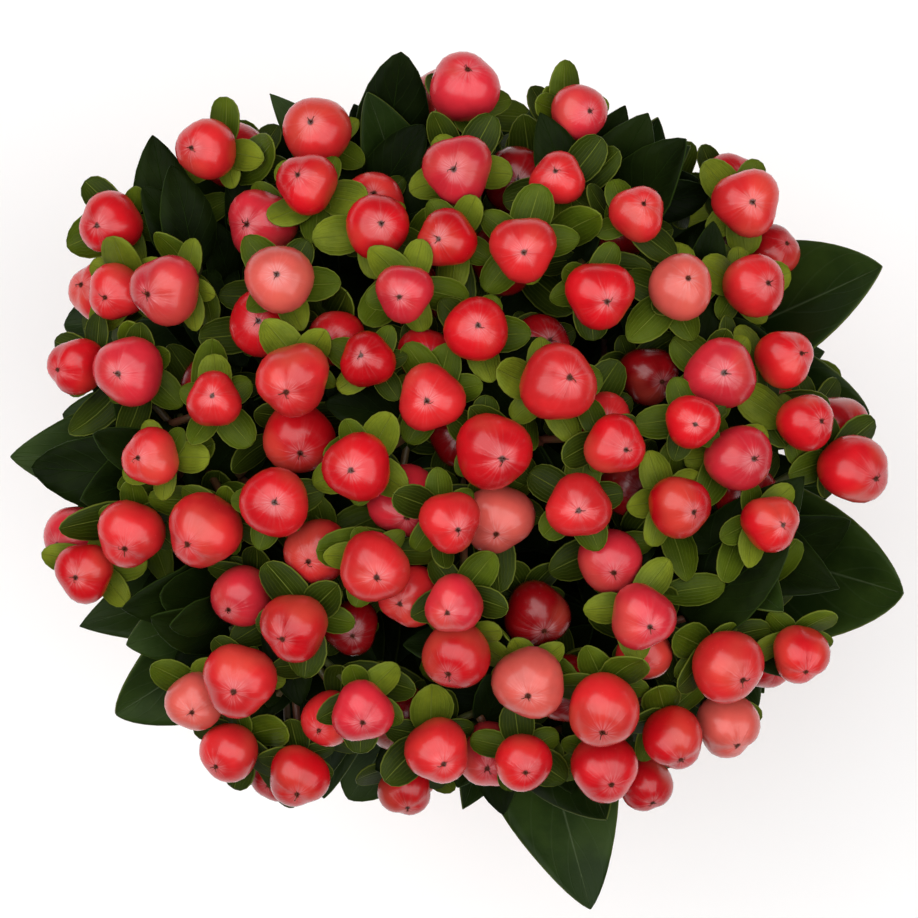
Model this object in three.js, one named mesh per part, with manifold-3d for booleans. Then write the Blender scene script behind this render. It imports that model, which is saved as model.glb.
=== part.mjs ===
// A potted St John's wort in full berry: a clump of woody stems from one root, in a plain clay pot.
// Millimetres, +Z up. The origin is the middle of the pot's flat underside.
// Every stem leans out from one point below the soil and ends in a head of opposite leaves and
// forked twigs, with coral berries on green calyces. Each head keeps to its own cone of space.
import * as THREE from "three";
import { mergeVertices } from "three/addons/utils/BufferGeometryUtils.js";
import Module from "manifold-3d";

const wasm = await Module();
wasm.setup();

// Driving sizes of the pot
const POT_HEIGHT = 110;
const POT_FOOT_RADIUS = 47;
const POT_SHOULDER_RADIUS = 60;
const POT_RIM_RADIUS = 67;
const POT_RIM_HEIGHT = 24;
const POT_WALL = 5.5;
const POT_SIDES = 24;
const SOIL_DEPTH_BELOW_RIM = 13;
const DRAIN_HOLES = 4;
const DRAIN_RADIUS = 4.5;
const DRAIN_RING_RADIUS = 22;

// Driving sizes of the crown, seen from above as a rounded, slightly lobed disc
const CROWN_REACH = 80;
const CROWN_TOP = 276;
const CROWN_FALL = 32;
const CROWN_FALL_POWER = 2.4;
const CROWN_LOBES = [
  { waves: 2, size: 0.057, phase: 18 },
  { waves: 4, size: 0.027, phase: 133 },
  { waves: 7, size: 0.032, phase: 97 },
];

// Driving sizes of the clump: where its stems spread from, how far they lean and which way
const CLUMP_HEIGHT = 40;
const STEM_RINGS = [
  { lean: 0, azimuths: [0] },
  { lean: 14.5, azimuths: [-74, -22, 24, 63, 104, 143, 182, 218] },
];
const STEM_FLARE_RADIUS = 3.4;
const STEM_FOOT_RADIUS = 2.4;
const STEM_TOP_RADIUS = 2;
const STEM_TIP_RADIUS = 1.4;
const STEM_FLARE_HEIGHT = 4;
const BARE_STEM_TOP = 119;

// Berries at the dome, those between and under them, and those on side shoots below the dome's edge, each
// with its depth below the dome and the share of the reach that it starts from
const DOME_BERRIES = { count: 84, depth: [0, 5], from: 0 };
const LOWER_BERRIES = { count: 20, depth: [7, 15], from: 0 };
const SIDE_BERRIES = { count: 12, depth: [22, 50], from: 0.86 };
const BERRY_RADIUS = [5.3, 7.1];
const BERRY_TRIES = 160;
const BERRY_GAP = 0.8;
const CALYX_RADIUS = [9.5, 12.5];
const TWIG_RADIUS = 0.9;
const TWIG_TAPER = 0.8;

// Leaves in opposite pairs up each stem, with a leafy side shoot in the axil of each leaf
const LEAF_LENGTH = [42, 56];
const LEAF_WIDTH_SHARE = 0.54;
const PAIR_SPACING = 9;
const LOWEST_PAIR = 126;
const SHOOT_LENGTH = [12, 24];
const SHOOT_RADIUS = 0.7;
const SHOOT_LEAF_SHARE = 0.62;

// Large leaves that show past the berries: the azimuth, reach and height of each tip, then the blade and the
// radius of the patch near its tip that the berries leave in view from above
const OUTER_LEAVES = [
  { azimuth: -74, reach: 95, height: 214, length: 56, width: 29, shown: 11 },
  { azimuth: -41, reach: 80, height: 206, length: 44, width: 24, shown: 0 },
  { azimuth: -27, reach: 70, height: 250, length: 36, width: 20, shown: 7 },
  { azimuth: -18, reach: 92, height: 224, length: 60, width: 36, shown: 10 },
  { azimuth: 24, reach: 89, height: 230, length: 52, width: 32, shown: 5 },
  { azimuth: 40, reach: 86, height: 224, length: 48, width: 26, shown: 0 },
  { azimuth: 58, reach: 84, height: 236, length: 50, width: 30, shown: 9 },
  { azimuth: 80, reach: 80, height: 226, length: 46, width: 24, shown: 4 },
  { azimuth: 104, reach: 75, height: 244, length: 42, width: 20, shown: 5 },
  { azimuth: 118, reach: 79, height: 224, length: 40, width: 16, shown: 0 },
  { azimuth: 139, reach: 86, height: 230, length: 46, width: 26, shown: 5 },
  { azimuth: 181, reach: 87, height: 226, length: 50, width: 28, shown: 7 },
  { azimuth: 210, reach: 81, height: 244, length: 50, width: 30, shown: 11 },
  { azimuth: 218, reach: 86, height: 214, length: 46, width: 28, shown: 0 },
  { azimuth: 236, reach: 79, height: 212, length: 44, width: 26, shown: 0 },
];
const SHOWN_BEHIND_TIP = 14;

const CLEARANCE = 0.3;
const DEGREE = Math.PI / 180;
const UP = new THREE.Vector3(0, 0, 1);
const CLUMP = new THREE.Vector3(0, 0, CLUMP_HEIGHT);
const SOIL_TOP = POT_HEIGHT - SOIL_DEPTH_BELOW_RIM;

const CLAY = new THREE.MeshStandardMaterial({ name: "clay", color: 0xb5683f, roughness: 0.85, metalness: 0 });
const SOIL = new THREE.MeshStandardMaterial({ name: "soil", color: 0x2c2019, roughness: 1, metalness: 0 });
const WOOD = new THREE.MeshStandardMaterial({ name: "wood", color: 0x5a3a26, roughness: 0.8, metalness: 0 });
const FOLIAGE = new THREE.MeshStandardMaterial({ name: "foliage", color: 0x3f5a22, roughness: 0.6, metalness: 0 });

// Numbers from 0 to 1 in an order that the seed fixes.
function seededNumbers(seed) {
  let state = seed;
  return () => {
    state = (Math.imul(state, 1664525) + 1013904223) >>> 0;
    return state / 4294967296;
  };
}

function between([low, high], share) {
  return low + (high - low) * share;
}

function polar(azimuth, distance, height) {
  return new THREE.Vector3(distance * Math.cos(azimuth), distance * Math.sin(azimuth), height);
}

function solidOf(geometry) {
  geometry.deleteAttribute("normal");
  geometry.deleteAttribute("uv");
  const merged = mergeVertices(geometry, 1e-5);
  return new wasm.Manifold(
    new wasm.Mesh({
      numProp: 3,
      vertProperties: merged.attributes.position.array,
      triVerts: new Uint32Array(merged.index.array),
    }),
  );
}

function geometryOf(solid) {
  const { vertProperties, triVerts } = solid.getMesh();
  const geometry = new THREE.BufferGeometry();
  geometry.setAttribute("position", new THREE.BufferAttribute(new Float32Array(vertProperties), 3));
  geometry.setIndex(new THREE.BufferAttribute(new Uint32Array(triVerts), 1));
  return geometry;
}

// Joins pieces into one closed body: sealed pockets are filled and loose scraps dropped.
function fuse(pieces) {
  const joined = pieces.reduce((whole, piece) => whole.add(piece));
  return joined.decompose().reduce((kept, body) => (body.volume() > kept.volume() ? body : kept));
}

function namedMesh(name, geometry, material) {
  const mesh = new THREE.Mesh(geometry, material);
  mesh.name = name;
  return mesh;
}

// The crown's reach from the pot's axis in one direction.
function crownReach(azimuth) {
  const lobes = CROWN_LOBES.map(({ waves, size, phase }) => size * Math.cos(waves * azimuth + phase * DEGREE));
  return CROWN_REACH * (1 + lobes.reduce((sum, lobe) => sum + lobe));
}

// The height of the berries' dome, by the share of the crown's reach.
function domeHeight(share) {
  return CROWN_TOP - CROWN_FALL * Math.pow(share, CROWN_FALL_POWER);
}

function underDome(point, depth, overhang) {
  const distance = Math.hypot(point.x, point.y);
  const reach = crownReach(Math.atan2(point.y, point.x));
  return distance < reach + overhang && point.z < domeHeight(Math.min(distance / reach, 1)) - depth;
}

// Stems: straight lines that lean out from one point below the soil
const stems = STEM_RINGS.flatMap(({ lean, azimuths }) =>
  azimuths.map((azimuth) => ({
    azimuth: azimuth * DEGREE,
    direction: polar(azimuth * DEGREE, Math.sin(lean * DEGREE), Math.cos(lean * DEGREE)),
  })),
);

function pointOnStem(stem, height) {
  return CLUMP.clone().addScaledVector(stem.direction, (height - CLUMP_HEIGHT) / stem.direction.z);
}

// How far a point lies inside a stem's cone, which is negative outside it.
function roomInCone(stem, point) {
  const ray = point.clone().sub(CLUMP);
  const rooms = stems
    .filter((other) => other !== stem)
    .map((other) => {
      const across = stem.direction.clone().sub(other.direction);
      return ray.dot(across) / across.length();
    });
  return Math.min(...rooms);
}

function nearestStem(point) {
  const ray = point.clone().sub(CLUMP);
  return stems.reduce((best, stem) => (ray.dot(stem.direction) > ray.dot(best.direction) ? stem : best));
}

function fits(stem, points) {
  return points.every((point) => point.z > BARE_STEM_TOP + CLEARANCE && roomInCone(stem, point) > CLEARANCE / 2);
}

// A tapered limb of level rings round the stem's line, so both of its ends are cut flat.
function limb(stem, heights, radii, sides) {
  const geometry = new THREE.CylinderGeometry(1, 1, 1, sides, heights.length - 1);
  geometry.rotateX(Math.PI / 2);
  const position = geometry.attributes.position;
  for (let i = 0; i < position.count; i++) {
    const ring = Math.round((position.getZ(i) + 0.5) * (heights.length - 1));
    const centre = pointOnStem(stem, heights[ring]);
    const x = centre.x + radii[ring] * position.getX(i);
    const y = centre.y + radii[ring] * position.getY(i);
    position.setXYZ(i, x, y, heights[ring]);
  }
  return geometry;
}

// A tapered, three-sided twig from one point to another.
function twig(start, end, startRadius, endRadius) {
  const along = end.clone().sub(start);
  const geometry = new THREE.CylinderGeometry(endRadius, startRadius, along.length(), 3, 1);
  geometry.translate(0, along.length() / 2, 0);
  geometry.applyQuaternion(new THREE.Quaternion().setFromUnitVectors(new THREE.Vector3(0, 1, 0), along.normalize()));
  return geometry.translate(start.x, start.y, start.z);
}

// Turns a shape's x to the given direction with its z as near upwards as that allows, and moves it to a point.
function setAlong(geometry, origin, direction) {
  const x = direction.clone().normalize();
  const y = UP.clone().cross(x).normalize();
  const z = x.clone().cross(y);
  return geometry.applyMatrix4(new THREE.Matrix4().makeBasis(x, y, z).setPosition(origin));
}

// A leaf blade of 12 faces: a flat six-cornered bipyramid, folded along its midrib and arched between its
// root and its tip. It is thickest near its root.
const LEAF_OUTLINE = [
  { along: 1, side: 0 },
  { along: 0.62, side: 0.42 },
  { along: 0.22, side: 0.44 },
  { along: 0, side: 0 },
  { along: 0.22, side: -0.44 },
  { along: 0.62, side: -0.42 },
];
const LEAF_FOLD = 0.25;
const LEAF_ARCH = 0.35;
const LEAF_CREST = 0.3;
const LEAF_HALF_THICKNESS = 0.012;

function leaf(origin, direction, length, width) {
  const geometry = new THREE.SphereGeometry(1, LEAF_OUTLINE.length, 2);
  const position = geometry.attributes.position;
  for (let i = 0; i < position.count; i++) {
    const pole = position.getY(i);
    const isPole = Math.abs(pole) > 0.5;
    const turn = Math.atan2(position.getZ(i), position.getX(i)) / (2 * Math.PI) + 1;
    const corner = LEAF_OUTLINE[Math.round(turn * LEAF_OUTLINE.length) % LEAF_OUTLINE.length];
    const along = isPole ? LEAF_CREST : corner.along;
    const side = isPole ? 0 : corner.side * width;
    const rise = isPole ? Math.sign(pole) * LEAF_HALF_THICKNESS * length : LEAF_FOLD * Math.abs(side);
    position.setXYZ(i, along * length, -side, rise + LEAF_ARCH * length * along * (1 - along));
  }
  return setAlong(geometry, origin, direction);
}

function cornersOf(geometry) {
  const position = geometry.attributes.position;
  return Array.from({ length: position.count }, (_, i) => new THREE.Vector3().fromBufferAttribute(position, i));
}

// A fruit in one closed shell of six sides: a berry of three joined carpels, and behind it a calyx whose
// three large lobes are each drawn in where the head's space or another berry doesn't leave them room.
const BERRY_LOBE = 1.06;
const BERRY_GROOVE = 0.95;
const BERRY_RINGS = [
  { radius: 0, height: 0.97 },
  { radius: 0.8, height: 0.6 },
  { radius: 0.96, height: -0.28 },
];
const CALYX_VALLEY = 3.4;
const CALYX_LIFT = 0.12;
const FRUIT_FOOT = 1.8;

function fruit(berry, berries) {
  const { radius, centre, foot, turn, spin, stem } = berry;
  const inWorld = (angle, distance, height, origin) =>
    new THREE.Vector3(distance * Math.cos(angle), height, distance * Math.sin(angle)).applyQuaternion(turn).add(origin);
  const lobeTip = (angle) => {
    const tip = inWorld(angle, berry.calyx, CALYX_LIFT * berry.calyx, foot);
    const free = fits(stem, [tip]) && clearOfBerries([tip], berries, berry);
    return free ? tip : inWorld(angle, CALYX_VALLEY, 0, foot);
  };
  const bands = BERRY_RINGS.length + 1;
  const geometry = new THREE.SphereGeometry(1, 6, bands);
  const position = geometry.attributes.position;
  for (let i = 0; i < position.count; i++) {
    const side = Math.round((Math.atan2(position.getZ(i), position.getX(i)) / Math.PI + 2) * 3);
    const ring = Math.round((Math.acos(THREE.MathUtils.clamp(position.getY(i), -1, 1)) / Math.PI) * bands);
    const angle = (side * Math.PI) / 3 + spin;
    let corner;
    if (ring < BERRY_RINGS.length) {
      const bulge = radius * BERRY_RINGS[ring].radius * (side % 2 ? BERRY_GROOVE : BERRY_LOBE);
      corner = inWorld(angle, bulge, radius * BERRY_RINGS[ring].height, centre);
    } else if (ring === BERRY_RINGS.length) {
      corner = side % 2 ? lobeTip(angle) : inWorld(angle, CALYX_VALLEY, 0, foot);
    } else {
      corner = inWorld(0, 0, -FRUIT_FOOT, foot);
    }
    position.setXYZ(i, corner.x, corner.y, corner.z);
  }
  return geometry;
}

// Places the berries one by one, each at the roomiest of some seeded tries. Its foot keeps to the cone of
// the stem that bears it.
const BERRY_SEED = 17;
const BERRY_LEAN = 0.55;
const BERRY_NOD = -0.22;
const BERRY_WOBBLE = 0.7;
const FOOT_ROOM = 2;

// Whether a berry would cover the patch of a large leaf that stays in view from above.
function hidesLeaf(centre, radius) {
  return OUTER_LEAVES.some(({ azimuth, reach, shown }) => {
    const middle = polar(azimuth * DEGREE, reach - SHOWN_BEHIND_TIP, centre.z);
    return shown > 0 && middle.distanceTo(centre) < shown + radius;
  });
}

function placeBerries() {
  const random = seededNumbers(BERRY_SEED);
  const berries = [];
  for (const layer of [DOME_BERRIES, LOWER_BERRIES, SIDE_BERRIES]) {
    for (let n = 0; n < layer.count; n++) {
      const radius = between(BERRY_RADIUS, random());
      const calyx = between(CALYX_RADIUS, random());
      const spin = 2 * Math.PI * random();
      const wobble = [BERRY_WOBBLE * (random() - 0.5), BERRY_WOBBLE * (random() - 0.5)];
      let best = null;
      for (let attempt = 0; attempt < BERRY_TRIES; attempt++) {
        const azimuth = 2 * Math.PI * random();
        const share = Math.sqrt(between([layer.from ** 2, 1], random()));
        const depth = between(layer.depth, random());
        const centre = polar(azimuth, share * (crownReach(azimuth) - radius), domeHeight(share) - depth);
        const axis = polar(azimuth, BERRY_LEAN * share, 1);
        axis.add(new THREE.Vector3(wobble[0], wobble[1] + BERRY_NOD, 0)).normalize();
        const foot = centre.clone().addScaledVector(axis, -radius);
        const stem = nearestStem(foot);
        if (roomInCone(stem, foot) < FOOT_ROOM || hidesLeaf(centre, radius)) continue;
        const gap = Math.min(...berries.map((other) => other.centre.distanceTo(centre) - other.radius - radius));
        if (gap > BERRY_GAP && (!best || gap > best.gap)) best = { centre, axis, foot, stem, gap, layer };
      }
      if (!best) continue;
      const turn = new THREE.Quaternion().setFromUnitVectors(new THREE.Vector3(0, 1, 0), best.axis);
      berries.push({ ...best, radius, calyx, spin, turn });
    }
  }
  return berries;
}

const BERRY_MARGIN = 1;

function clearOfBerries(points, berries, except) {
  const isClear = (point, { centre, radius }) => point.distanceTo(centre) > radius * BERRY_LOBE + BERRY_MARGIN;
  return points.every((point) => berries.every((berry) => berry === except || isClear(point, berry)));
}

// Twigs of one head: two pairs of arms at right angles, each running to its furthest berry and forking
// to the others on its side, and lower down a side shoot to each berry below the dome's edge.
const ARMS = 4;
const ARM_FORKS = [0.15, 0.7];
const ARM_TURNS = [0, 0.33, 0.67];
const SPARE_STARTS = [4, -4, 8, 14, 20];
const ARM_SPACING = 9;
const HUB_DEPTH = 20;
const STEM_OVER_HUB = 10;
const SIDE_SHOOT_RISE = 14;
const TWIG_STEPS = [0.2, 0.35, 0.5, 0.65, 0.8, 0.95];

function growTwigs(stem, berries) {
  const own = berries.filter((berry) => berry.stem === stem);
  const domed = own.filter((berry) => berry.layer !== SIDE_BERRIES);
  const hubHeight = domed.reduce((sum, berry) => sum + berry.foot.z, 0) / domed.length - HUB_DEPTH;
  const top = pointOnStem(stem, hubHeight + ARM_SPACING);
  const arms = Array.from({ length: ARMS }, () => []);
  for (const berry of domed) {
    const turn = (Math.atan2(berry.foot.y - top.y, berry.foot.x - top.x) - stem.azimuth) / (2 * Math.PI);
    arms[Math.floor((turn + 1 + 0.5 / ARMS) * ARMS) % ARMS].push(berry);
  }
  const heights = [BARE_STEM_TOP + CLEARANCE, hubHeight + STEM_OVER_HUB];
  const mainStem = limb(stem, heights, [STEM_TOP_RADIUS, STEM_TIP_RADIUS], 4);
  const growth = { stem, berries, hubHeight, borne: [], shapes: [mainStem] };
  arms.forEach((members, index) => {
    const start = pointOnStem(stem, index % 2 ? hubHeight + ARM_SPACING : hubHeight);
    members.sort((a, b) => b.foot.distanceTo(start) - a.foot.distanceTo(start));
    let tip = start;
    members.forEach((berry, rank) => {
      const shares = ARM_TURNS.map((turn) => between(ARM_FORKS, (rank / members.length + turn) % 1));
      const forks = shares.map((share) => start.clone().lerp(tip, share));
      const spares = SPARE_STARTS.map((drop) => pointOnStem(stem, start.z - drop));
      if (bear(growth, berry, [...forks, ...spares]) && tip === start) tip = berry.foot;
    });
  });
  for (const berry of own.filter(({ layer }) => layer === SIDE_BERRIES)) {
    bear(growth, berry, [pointOnStem(stem, berry.foot.z - SIDE_SHOOT_RISE)]);
  }
  growth.solid = fuse(growth.shapes.map(solidOf));
  return growth;
}

// Bears a berry on a twig from the first of some starts that has a clear way to it.
function bear(growth, berry, starts) {
  const wayFrom = (start) => TWIG_STEPS.map((share) => start.clone().lerp(berry.foot, share));
  const start = starts.find((point) => clearOfBerries(wayFrom(point), growth.berries, berry));
  if (!start) return false;
  const end = berry.foot.clone().addScaledVector(berry.axis, 1);
  growth.shapes.push(twig(start, end, TWIG_RADIUS, TWIG_RADIUS * TWIG_TAPER));
  growth.borne.push(berry);
  return true;
}

// Adds a leaf to a head's growth at the first size that keeps to the head's space and clear of the
// berries, twigs and other leaves, or leaves it out where none does.
const LEAF_SIZES = [1, 0.82, 0.66, 0.5];
const LEAF_MARGINS = { sink: 3, overhang: 2 };
const OUTER_LEAF_MARGINS = { sink: -4, overhang: 22 };
const ROOT_ZONE = 4.5;

function addLeaf(growth, root, direction, length, width, { sink, overhang } = LEAF_MARGINS) {
  for (const size of LEAF_SIZES) {
    const blade = leaf(root, direction, length * size, width * size);
    const corners = cornersOf(blade);
    if (!fits(growth.stem, corners) || !clearOfBerries(corners, growth.berries)) continue;
    if (!corners.every((corner) => underDome(corner, sink, overhang))) continue;
    const solid = solidOf(blade);
    const shared = geometryOf(growth.solid.intersect(solid));
    if (cornersOf(shared).some((corner) => corner.distanceTo(root) > ROOT_ZONE)) continue;
    growth.solid = growth.solid.add(solid);
    return true;
  }
  return false;
}

// Leaves up one stem, in opposite pairs that rise more steeply towards its tip. The pairs of a leaning
// stem turn to the light outside. Each leaf has a side shoot with two smaller leaves in its axil.
const LEAF_SEED = 500;
const LEAF_RISE = [0.1, 0.8];
const LEAF_RISE_SPREAD = 0.6;
const LEAF_TURN_SPREAD = 30 * DEGREE;
const LEAF_SHRINK = 0.15;
const LEAF_FANS = [
  [0, 180],
  [58, -58],
];
const SHOOT_FAN = [-40, 40];
const PAIR_STAGGER = 3;
const SHOOT_LIFT = 5.5;
const SHOOT_EXTRA_RISE = 0.5;
const SHOOT_LEAVES_AT = [0.9, 0.76];

function addStemLeaves(growth, index) {
  const random = seededNumbers(LEAF_SEED + index);
  const { stem, hubHeight } = growth;
  let pair = index;
  for (let height = LOWEST_PAIR; height < hubHeight; height += PAIR_SPACING) {
    const share = (height - LOWEST_PAIR) / (hubHeight - LOWEST_PAIR);
    LEAF_FANS[pair % 2].forEach((fan, side) => {
      const level = height + PAIR_STAGGER * side;
      const azimuth = stem.azimuth + fan * DEGREE + LEAF_TURN_SPREAD * (random() - 0.5);
      const length = between(LEAF_LENGTH, random()) * (1 - LEAF_SHRINK * share);
      const rise = between(LEAF_RISE, share) + LEAF_RISE_SPREAD * (random() - 0.5);
      addLeaf(growth, pointOnStem(stem, level), polar(azimuth, 1, rise), length, length * LEAF_WIDTH_SHARE);
      addShoot(growth, pointOnStem(stem, level + SHOOT_LIFT), azimuth, rise, random);
    });
    pair++;
  }
}

function addShoot(growth, start, azimuth, rise, random) {
  const along = polar(azimuth, 1, rise + SHOOT_EXTRA_RISE).setLength(between(SHOOT_LENGTH, random()));
  const tip = start.clone().add(along);
  const blades = SHOOT_FAN.map((fan, side) => ({
    root: start.clone().lerp(tip, SHOOT_LEAVES_AT[side]),
    turn: azimuth + fan * DEGREE + LEAF_TURN_SPREAD * (random() - 0.5),
    length: between(LEAF_LENGTH, random()) * SHOOT_LEAF_SHARE,
  }));
  if (!fits(growth.stem, [tip]) || !clearOfBerries([tip], growth.berries)) return;
  const before = growth.solid;
  growth.solid = before.add(solidOf(twig(start, tip, SHOOT_RADIUS, SHOOT_RADIUS)));
  const isFull = blades.every(({ root, turn, length }) =>
    addLeaf(growth, root, polar(turn, 1, rise), length, length * LEAF_WIDTH_SHARE),
  );
  if (!isFull) growth.solid = before;
}

// Large outer leaves whose tips lie in this stem's cone.
function addOuterLeaves(growth) {
  const { stem } = growth;
  for (const { azimuth, reach, height, length, width } of OUTER_LEAVES) {
    const tip = polar(azimuth * DEGREE, reach, height);
    if (nearestStem(tip) !== stem) continue;
    const level = pointOnStem(stem, height);
    const across = Math.hypot(tip.x - level.x, tip.y - level.y);
    const foot = pointOnStem(stem, height - Math.sqrt(Math.max(length ** 2 - across ** 2, 0)));
    const reachOut = tip.clone().sub(foot);
    addLeaf(growth, foot, reachOut, reachOut.length(), width, OUTER_LEAF_MARGINS);
  }
}

// One head: its main stem, arms, leaves and fruit fused into one body.
function head(stem, index, berries) {
  const growth = growTwigs(stem, berries);
  addOuterLeaves(growth);
  addStemLeaves(growth, index);
  return fuse([growth.solid, ...growth.borne.map((berry) => solidOf(fruit(berry, berries)))]);
}

// Clay pot: a turned wall with a thick rim band, on a flat foot with small drain holes
const RIM_BEVEL = 2;
const RIM_DRAFT = 1;

function pot() {
  const shoulder = POT_HEIGHT - POT_RIM_HEIGHT;
  const profile = [
    [0, 0],
    [POT_FOOT_RADIUS, 0],
    [POT_SHOULDER_RADIUS, shoulder],
    [POT_RIM_RADIUS - RIM_DRAFT, shoulder],
    [POT_RIM_RADIUS, POT_HEIGHT - RIM_BEVEL],
    [POT_RIM_RADIUS - RIM_BEVEL, POT_HEIGHT],
    [POT_RIM_RADIUS - POT_WALL - RIM_DRAFT, POT_HEIGHT],
    [POT_SHOULDER_RADIUS - POT_WALL, shoulder - RIM_BEVEL],
    [POT_FOOT_RADIUS - POT_WALL, POT_WALL],
    [0, POT_WALL],
  ];
  const wall = new THREE.LatheGeometry(
    profile.map(([radius, height]) => new THREE.Vector2(radius, height)),
    POT_SIDES,
  ).rotateX(Math.PI / 2);
  let solid = solidOf(wall);
  for (let i = 0; i < DRAIN_HOLES; i++) {
    const place = polar((i * 2 * Math.PI) / DRAIN_HOLES + Math.PI / 4, DRAIN_RING_RADIUS, POT_WALL / 2);
    const drill = new THREE.CylinderGeometry(DRAIN_RADIUS, DRAIN_RADIUS, POT_WALL * 2, 8).rotateX(Math.PI / 2);
    solid = solid.subtract(solidOf(drill.translate(place.x, place.y, place.z)));
  }
  return geometryOf(solid);
}

// Soil: a plug that fills the pot to just below its rim
function soil() {
  const shoulder = POT_HEIGHT - POT_RIM_HEIGHT - RIM_BEVEL;
  const floor = POT_WALL + CLEARANCE;
  const wallRadius = (height) => {
    const share = (height - POT_WALL) / (shoulder - POT_WALL);
    const belowShoulder = POT_FOOT_RADIUS + (POT_SHOULDER_RADIUS - POT_FOOT_RADIUS) * share;
    const rimShare = (height - shoulder) / (POT_HEIGHT - shoulder);
    const aboveShoulder = POT_SHOULDER_RADIUS + (POT_RIM_RADIUS - RIM_DRAFT - POT_SHOULDER_RADIUS) * rimShare;
    return (height < shoulder ? belowShoulder : aboveShoulder) - POT_WALL - CLEARANCE;
  };
  const profile = [
    [0, floor],
    [wallRadius(floor), floor],
    [wallRadius(shoulder), shoulder],
    [wallRadius(SOIL_TOP), SOIL_TOP],
    [0, SOIL_TOP],
  ];
  return new THREE.LatheGeometry(
    profile.map(([radius, height]) => new THREE.Vector2(radius, height)),
    POT_SIDES,
  ).rotateX(Math.PI / 2);
}

const plant = new THREE.Group();
plant.add(namedMesh("pot", pot(), CLAY));
plant.add(namedMesh("soil", soil(), SOIL));

const berries = placeBerries();
const stemFoot = SOIL_TOP + CLEARANCE;
stems.forEach((stem, index) => {
  const label = String(index + 1).padStart(2, "0");
  const heights = [stemFoot, stemFoot + STEM_FLARE_HEIGHT, BARE_STEM_TOP];
  const bare = limb(stem, heights, [STEM_FLARE_RADIUS, STEM_FOOT_RADIUS, STEM_TOP_RADIUS], 6);
  plant.add(namedMesh(`stem_${label}`, bare, WOOD));
  plant.add(namedMesh(`head_${label}`, geometryOf(head(stem, index, berries)), FOLIAGE));
});

export default plant;
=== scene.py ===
import math
from types import SimpleNamespace

import bmesh
import bpy
from mathutils import Matrix, Vector, noise
from mathutils.bvhtree import BVHTree


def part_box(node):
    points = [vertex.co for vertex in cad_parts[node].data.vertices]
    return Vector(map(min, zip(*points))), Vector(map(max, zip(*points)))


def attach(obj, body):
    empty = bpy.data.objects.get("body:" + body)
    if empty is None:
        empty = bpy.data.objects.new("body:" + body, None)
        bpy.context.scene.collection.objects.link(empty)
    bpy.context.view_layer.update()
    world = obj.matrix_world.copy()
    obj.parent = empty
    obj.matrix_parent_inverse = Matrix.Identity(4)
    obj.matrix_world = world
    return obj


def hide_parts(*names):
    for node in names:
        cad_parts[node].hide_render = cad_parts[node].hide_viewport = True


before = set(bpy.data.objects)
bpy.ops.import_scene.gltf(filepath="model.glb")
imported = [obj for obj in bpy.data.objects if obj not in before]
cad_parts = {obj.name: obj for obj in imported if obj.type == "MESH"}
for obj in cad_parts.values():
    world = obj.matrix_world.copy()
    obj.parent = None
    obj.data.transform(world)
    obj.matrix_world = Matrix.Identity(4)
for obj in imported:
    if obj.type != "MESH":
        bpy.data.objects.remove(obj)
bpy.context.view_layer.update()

# The pot. It is turned from red clay: a tapering wall under a thick rim band, on a flat foot with four drain
# holes. The fired clay is unglazed, with fine turning marks, and lime has dried on it in pale patches.
POT_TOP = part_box("pot")[1].z
RIM_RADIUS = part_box("pot")[1].x
FOOT_RADIUS = 0.047
SHOULDER_RADIUS = 0.060
RIM_BAND = 0.024
RIM_DRAFT = 0.001
WALL = 0.0055
POT_STEPS = 96
EDGE_ROUND = 0.0011
SHARP_EDGE = math.radians(25)
DRAIN_HOLES = 4
DRAIN_SIDES = 24
DRAIN_RADIUS = 0.0045
DRAIN_RING = 0.022
CLAY_RED = (0.42, 0.135, 0.055, 1)
CLAY_PALE = (0.56, 0.23, 0.115, 1)
CLAY_DARK = (0.27, 0.075, 0.03, 1)
LIME = (0.66, 0.52, 0.42, 1)
LIME_BELOW_RIM = 0.03
LIME_OVER_FOOT = 0.028


def connect(value, socket):
    value.id_data.links.new(value, socket)


def add_node(kind, inputs, **settings):
    """Adds a node beside what it reads, with its settings, and links its inputs or gives them values."""
    read = [value for value in inputs.values() if isinstance(value, bpy.types.NodeSocket)]
    node = read[0].id_data.nodes.new(kind)
    for name, value in settings.items():
        setattr(node, name, value)
    for name, value in inputs.items():
        if value in read:
            connect(value, node.inputs[name])
        else:
            node.inputs[name].default_value = value
    return node


def number(operation, first, second=0.0):
    """The value of a sum, product or other operation on two numbers."""
    return add_node("ShaderNodeMath", {0: first, 1: second}, operation=operation).outputs[0]


def times(first, second):
    return number("MULTIPLY", first, second)


def mask(value, low, high, start=0.0, end=1.0):
    """A value that runs from start to end as another one goes from low to high."""
    inputs = {"Value": value, "From Min": low, "From Max": high, "To Min": start, "To Max": end}
    return add_node("ShaderNodeMapRange", inputs, interpolation_type="SMOOTHSTEP").outputs["Result"]


def blend(share, first, second):
    """A colour between two others."""
    inputs = {0: share, 6: first, 7: second}
    return add_node("ShaderNodeMix", inputs, data_type="RGBA").outputs[2]


def speckle(place, scale, detail=3.0, roughness=0.55, seed=None):
    """A cloudy pattern from 0 to 1, of a given fineness, which a seed may change."""
    inputs = {"Vector": place, "Scale": scale, "Detail": detail, "Roughness": roughness}
    if seed is None:
        return add_node("ShaderNodeTexNoise", inputs).outputs["Fac"]
    return add_node("ShaderNodeTexNoise", {**inputs, "W": seed}, noise_dimensions="4D").outputs["Fac"]


def component(place, axis):
    """How far a place lies along one axis."""
    return add_node("ShaderNodeSeparateXYZ", {0: place}).outputs[axis]


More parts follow.
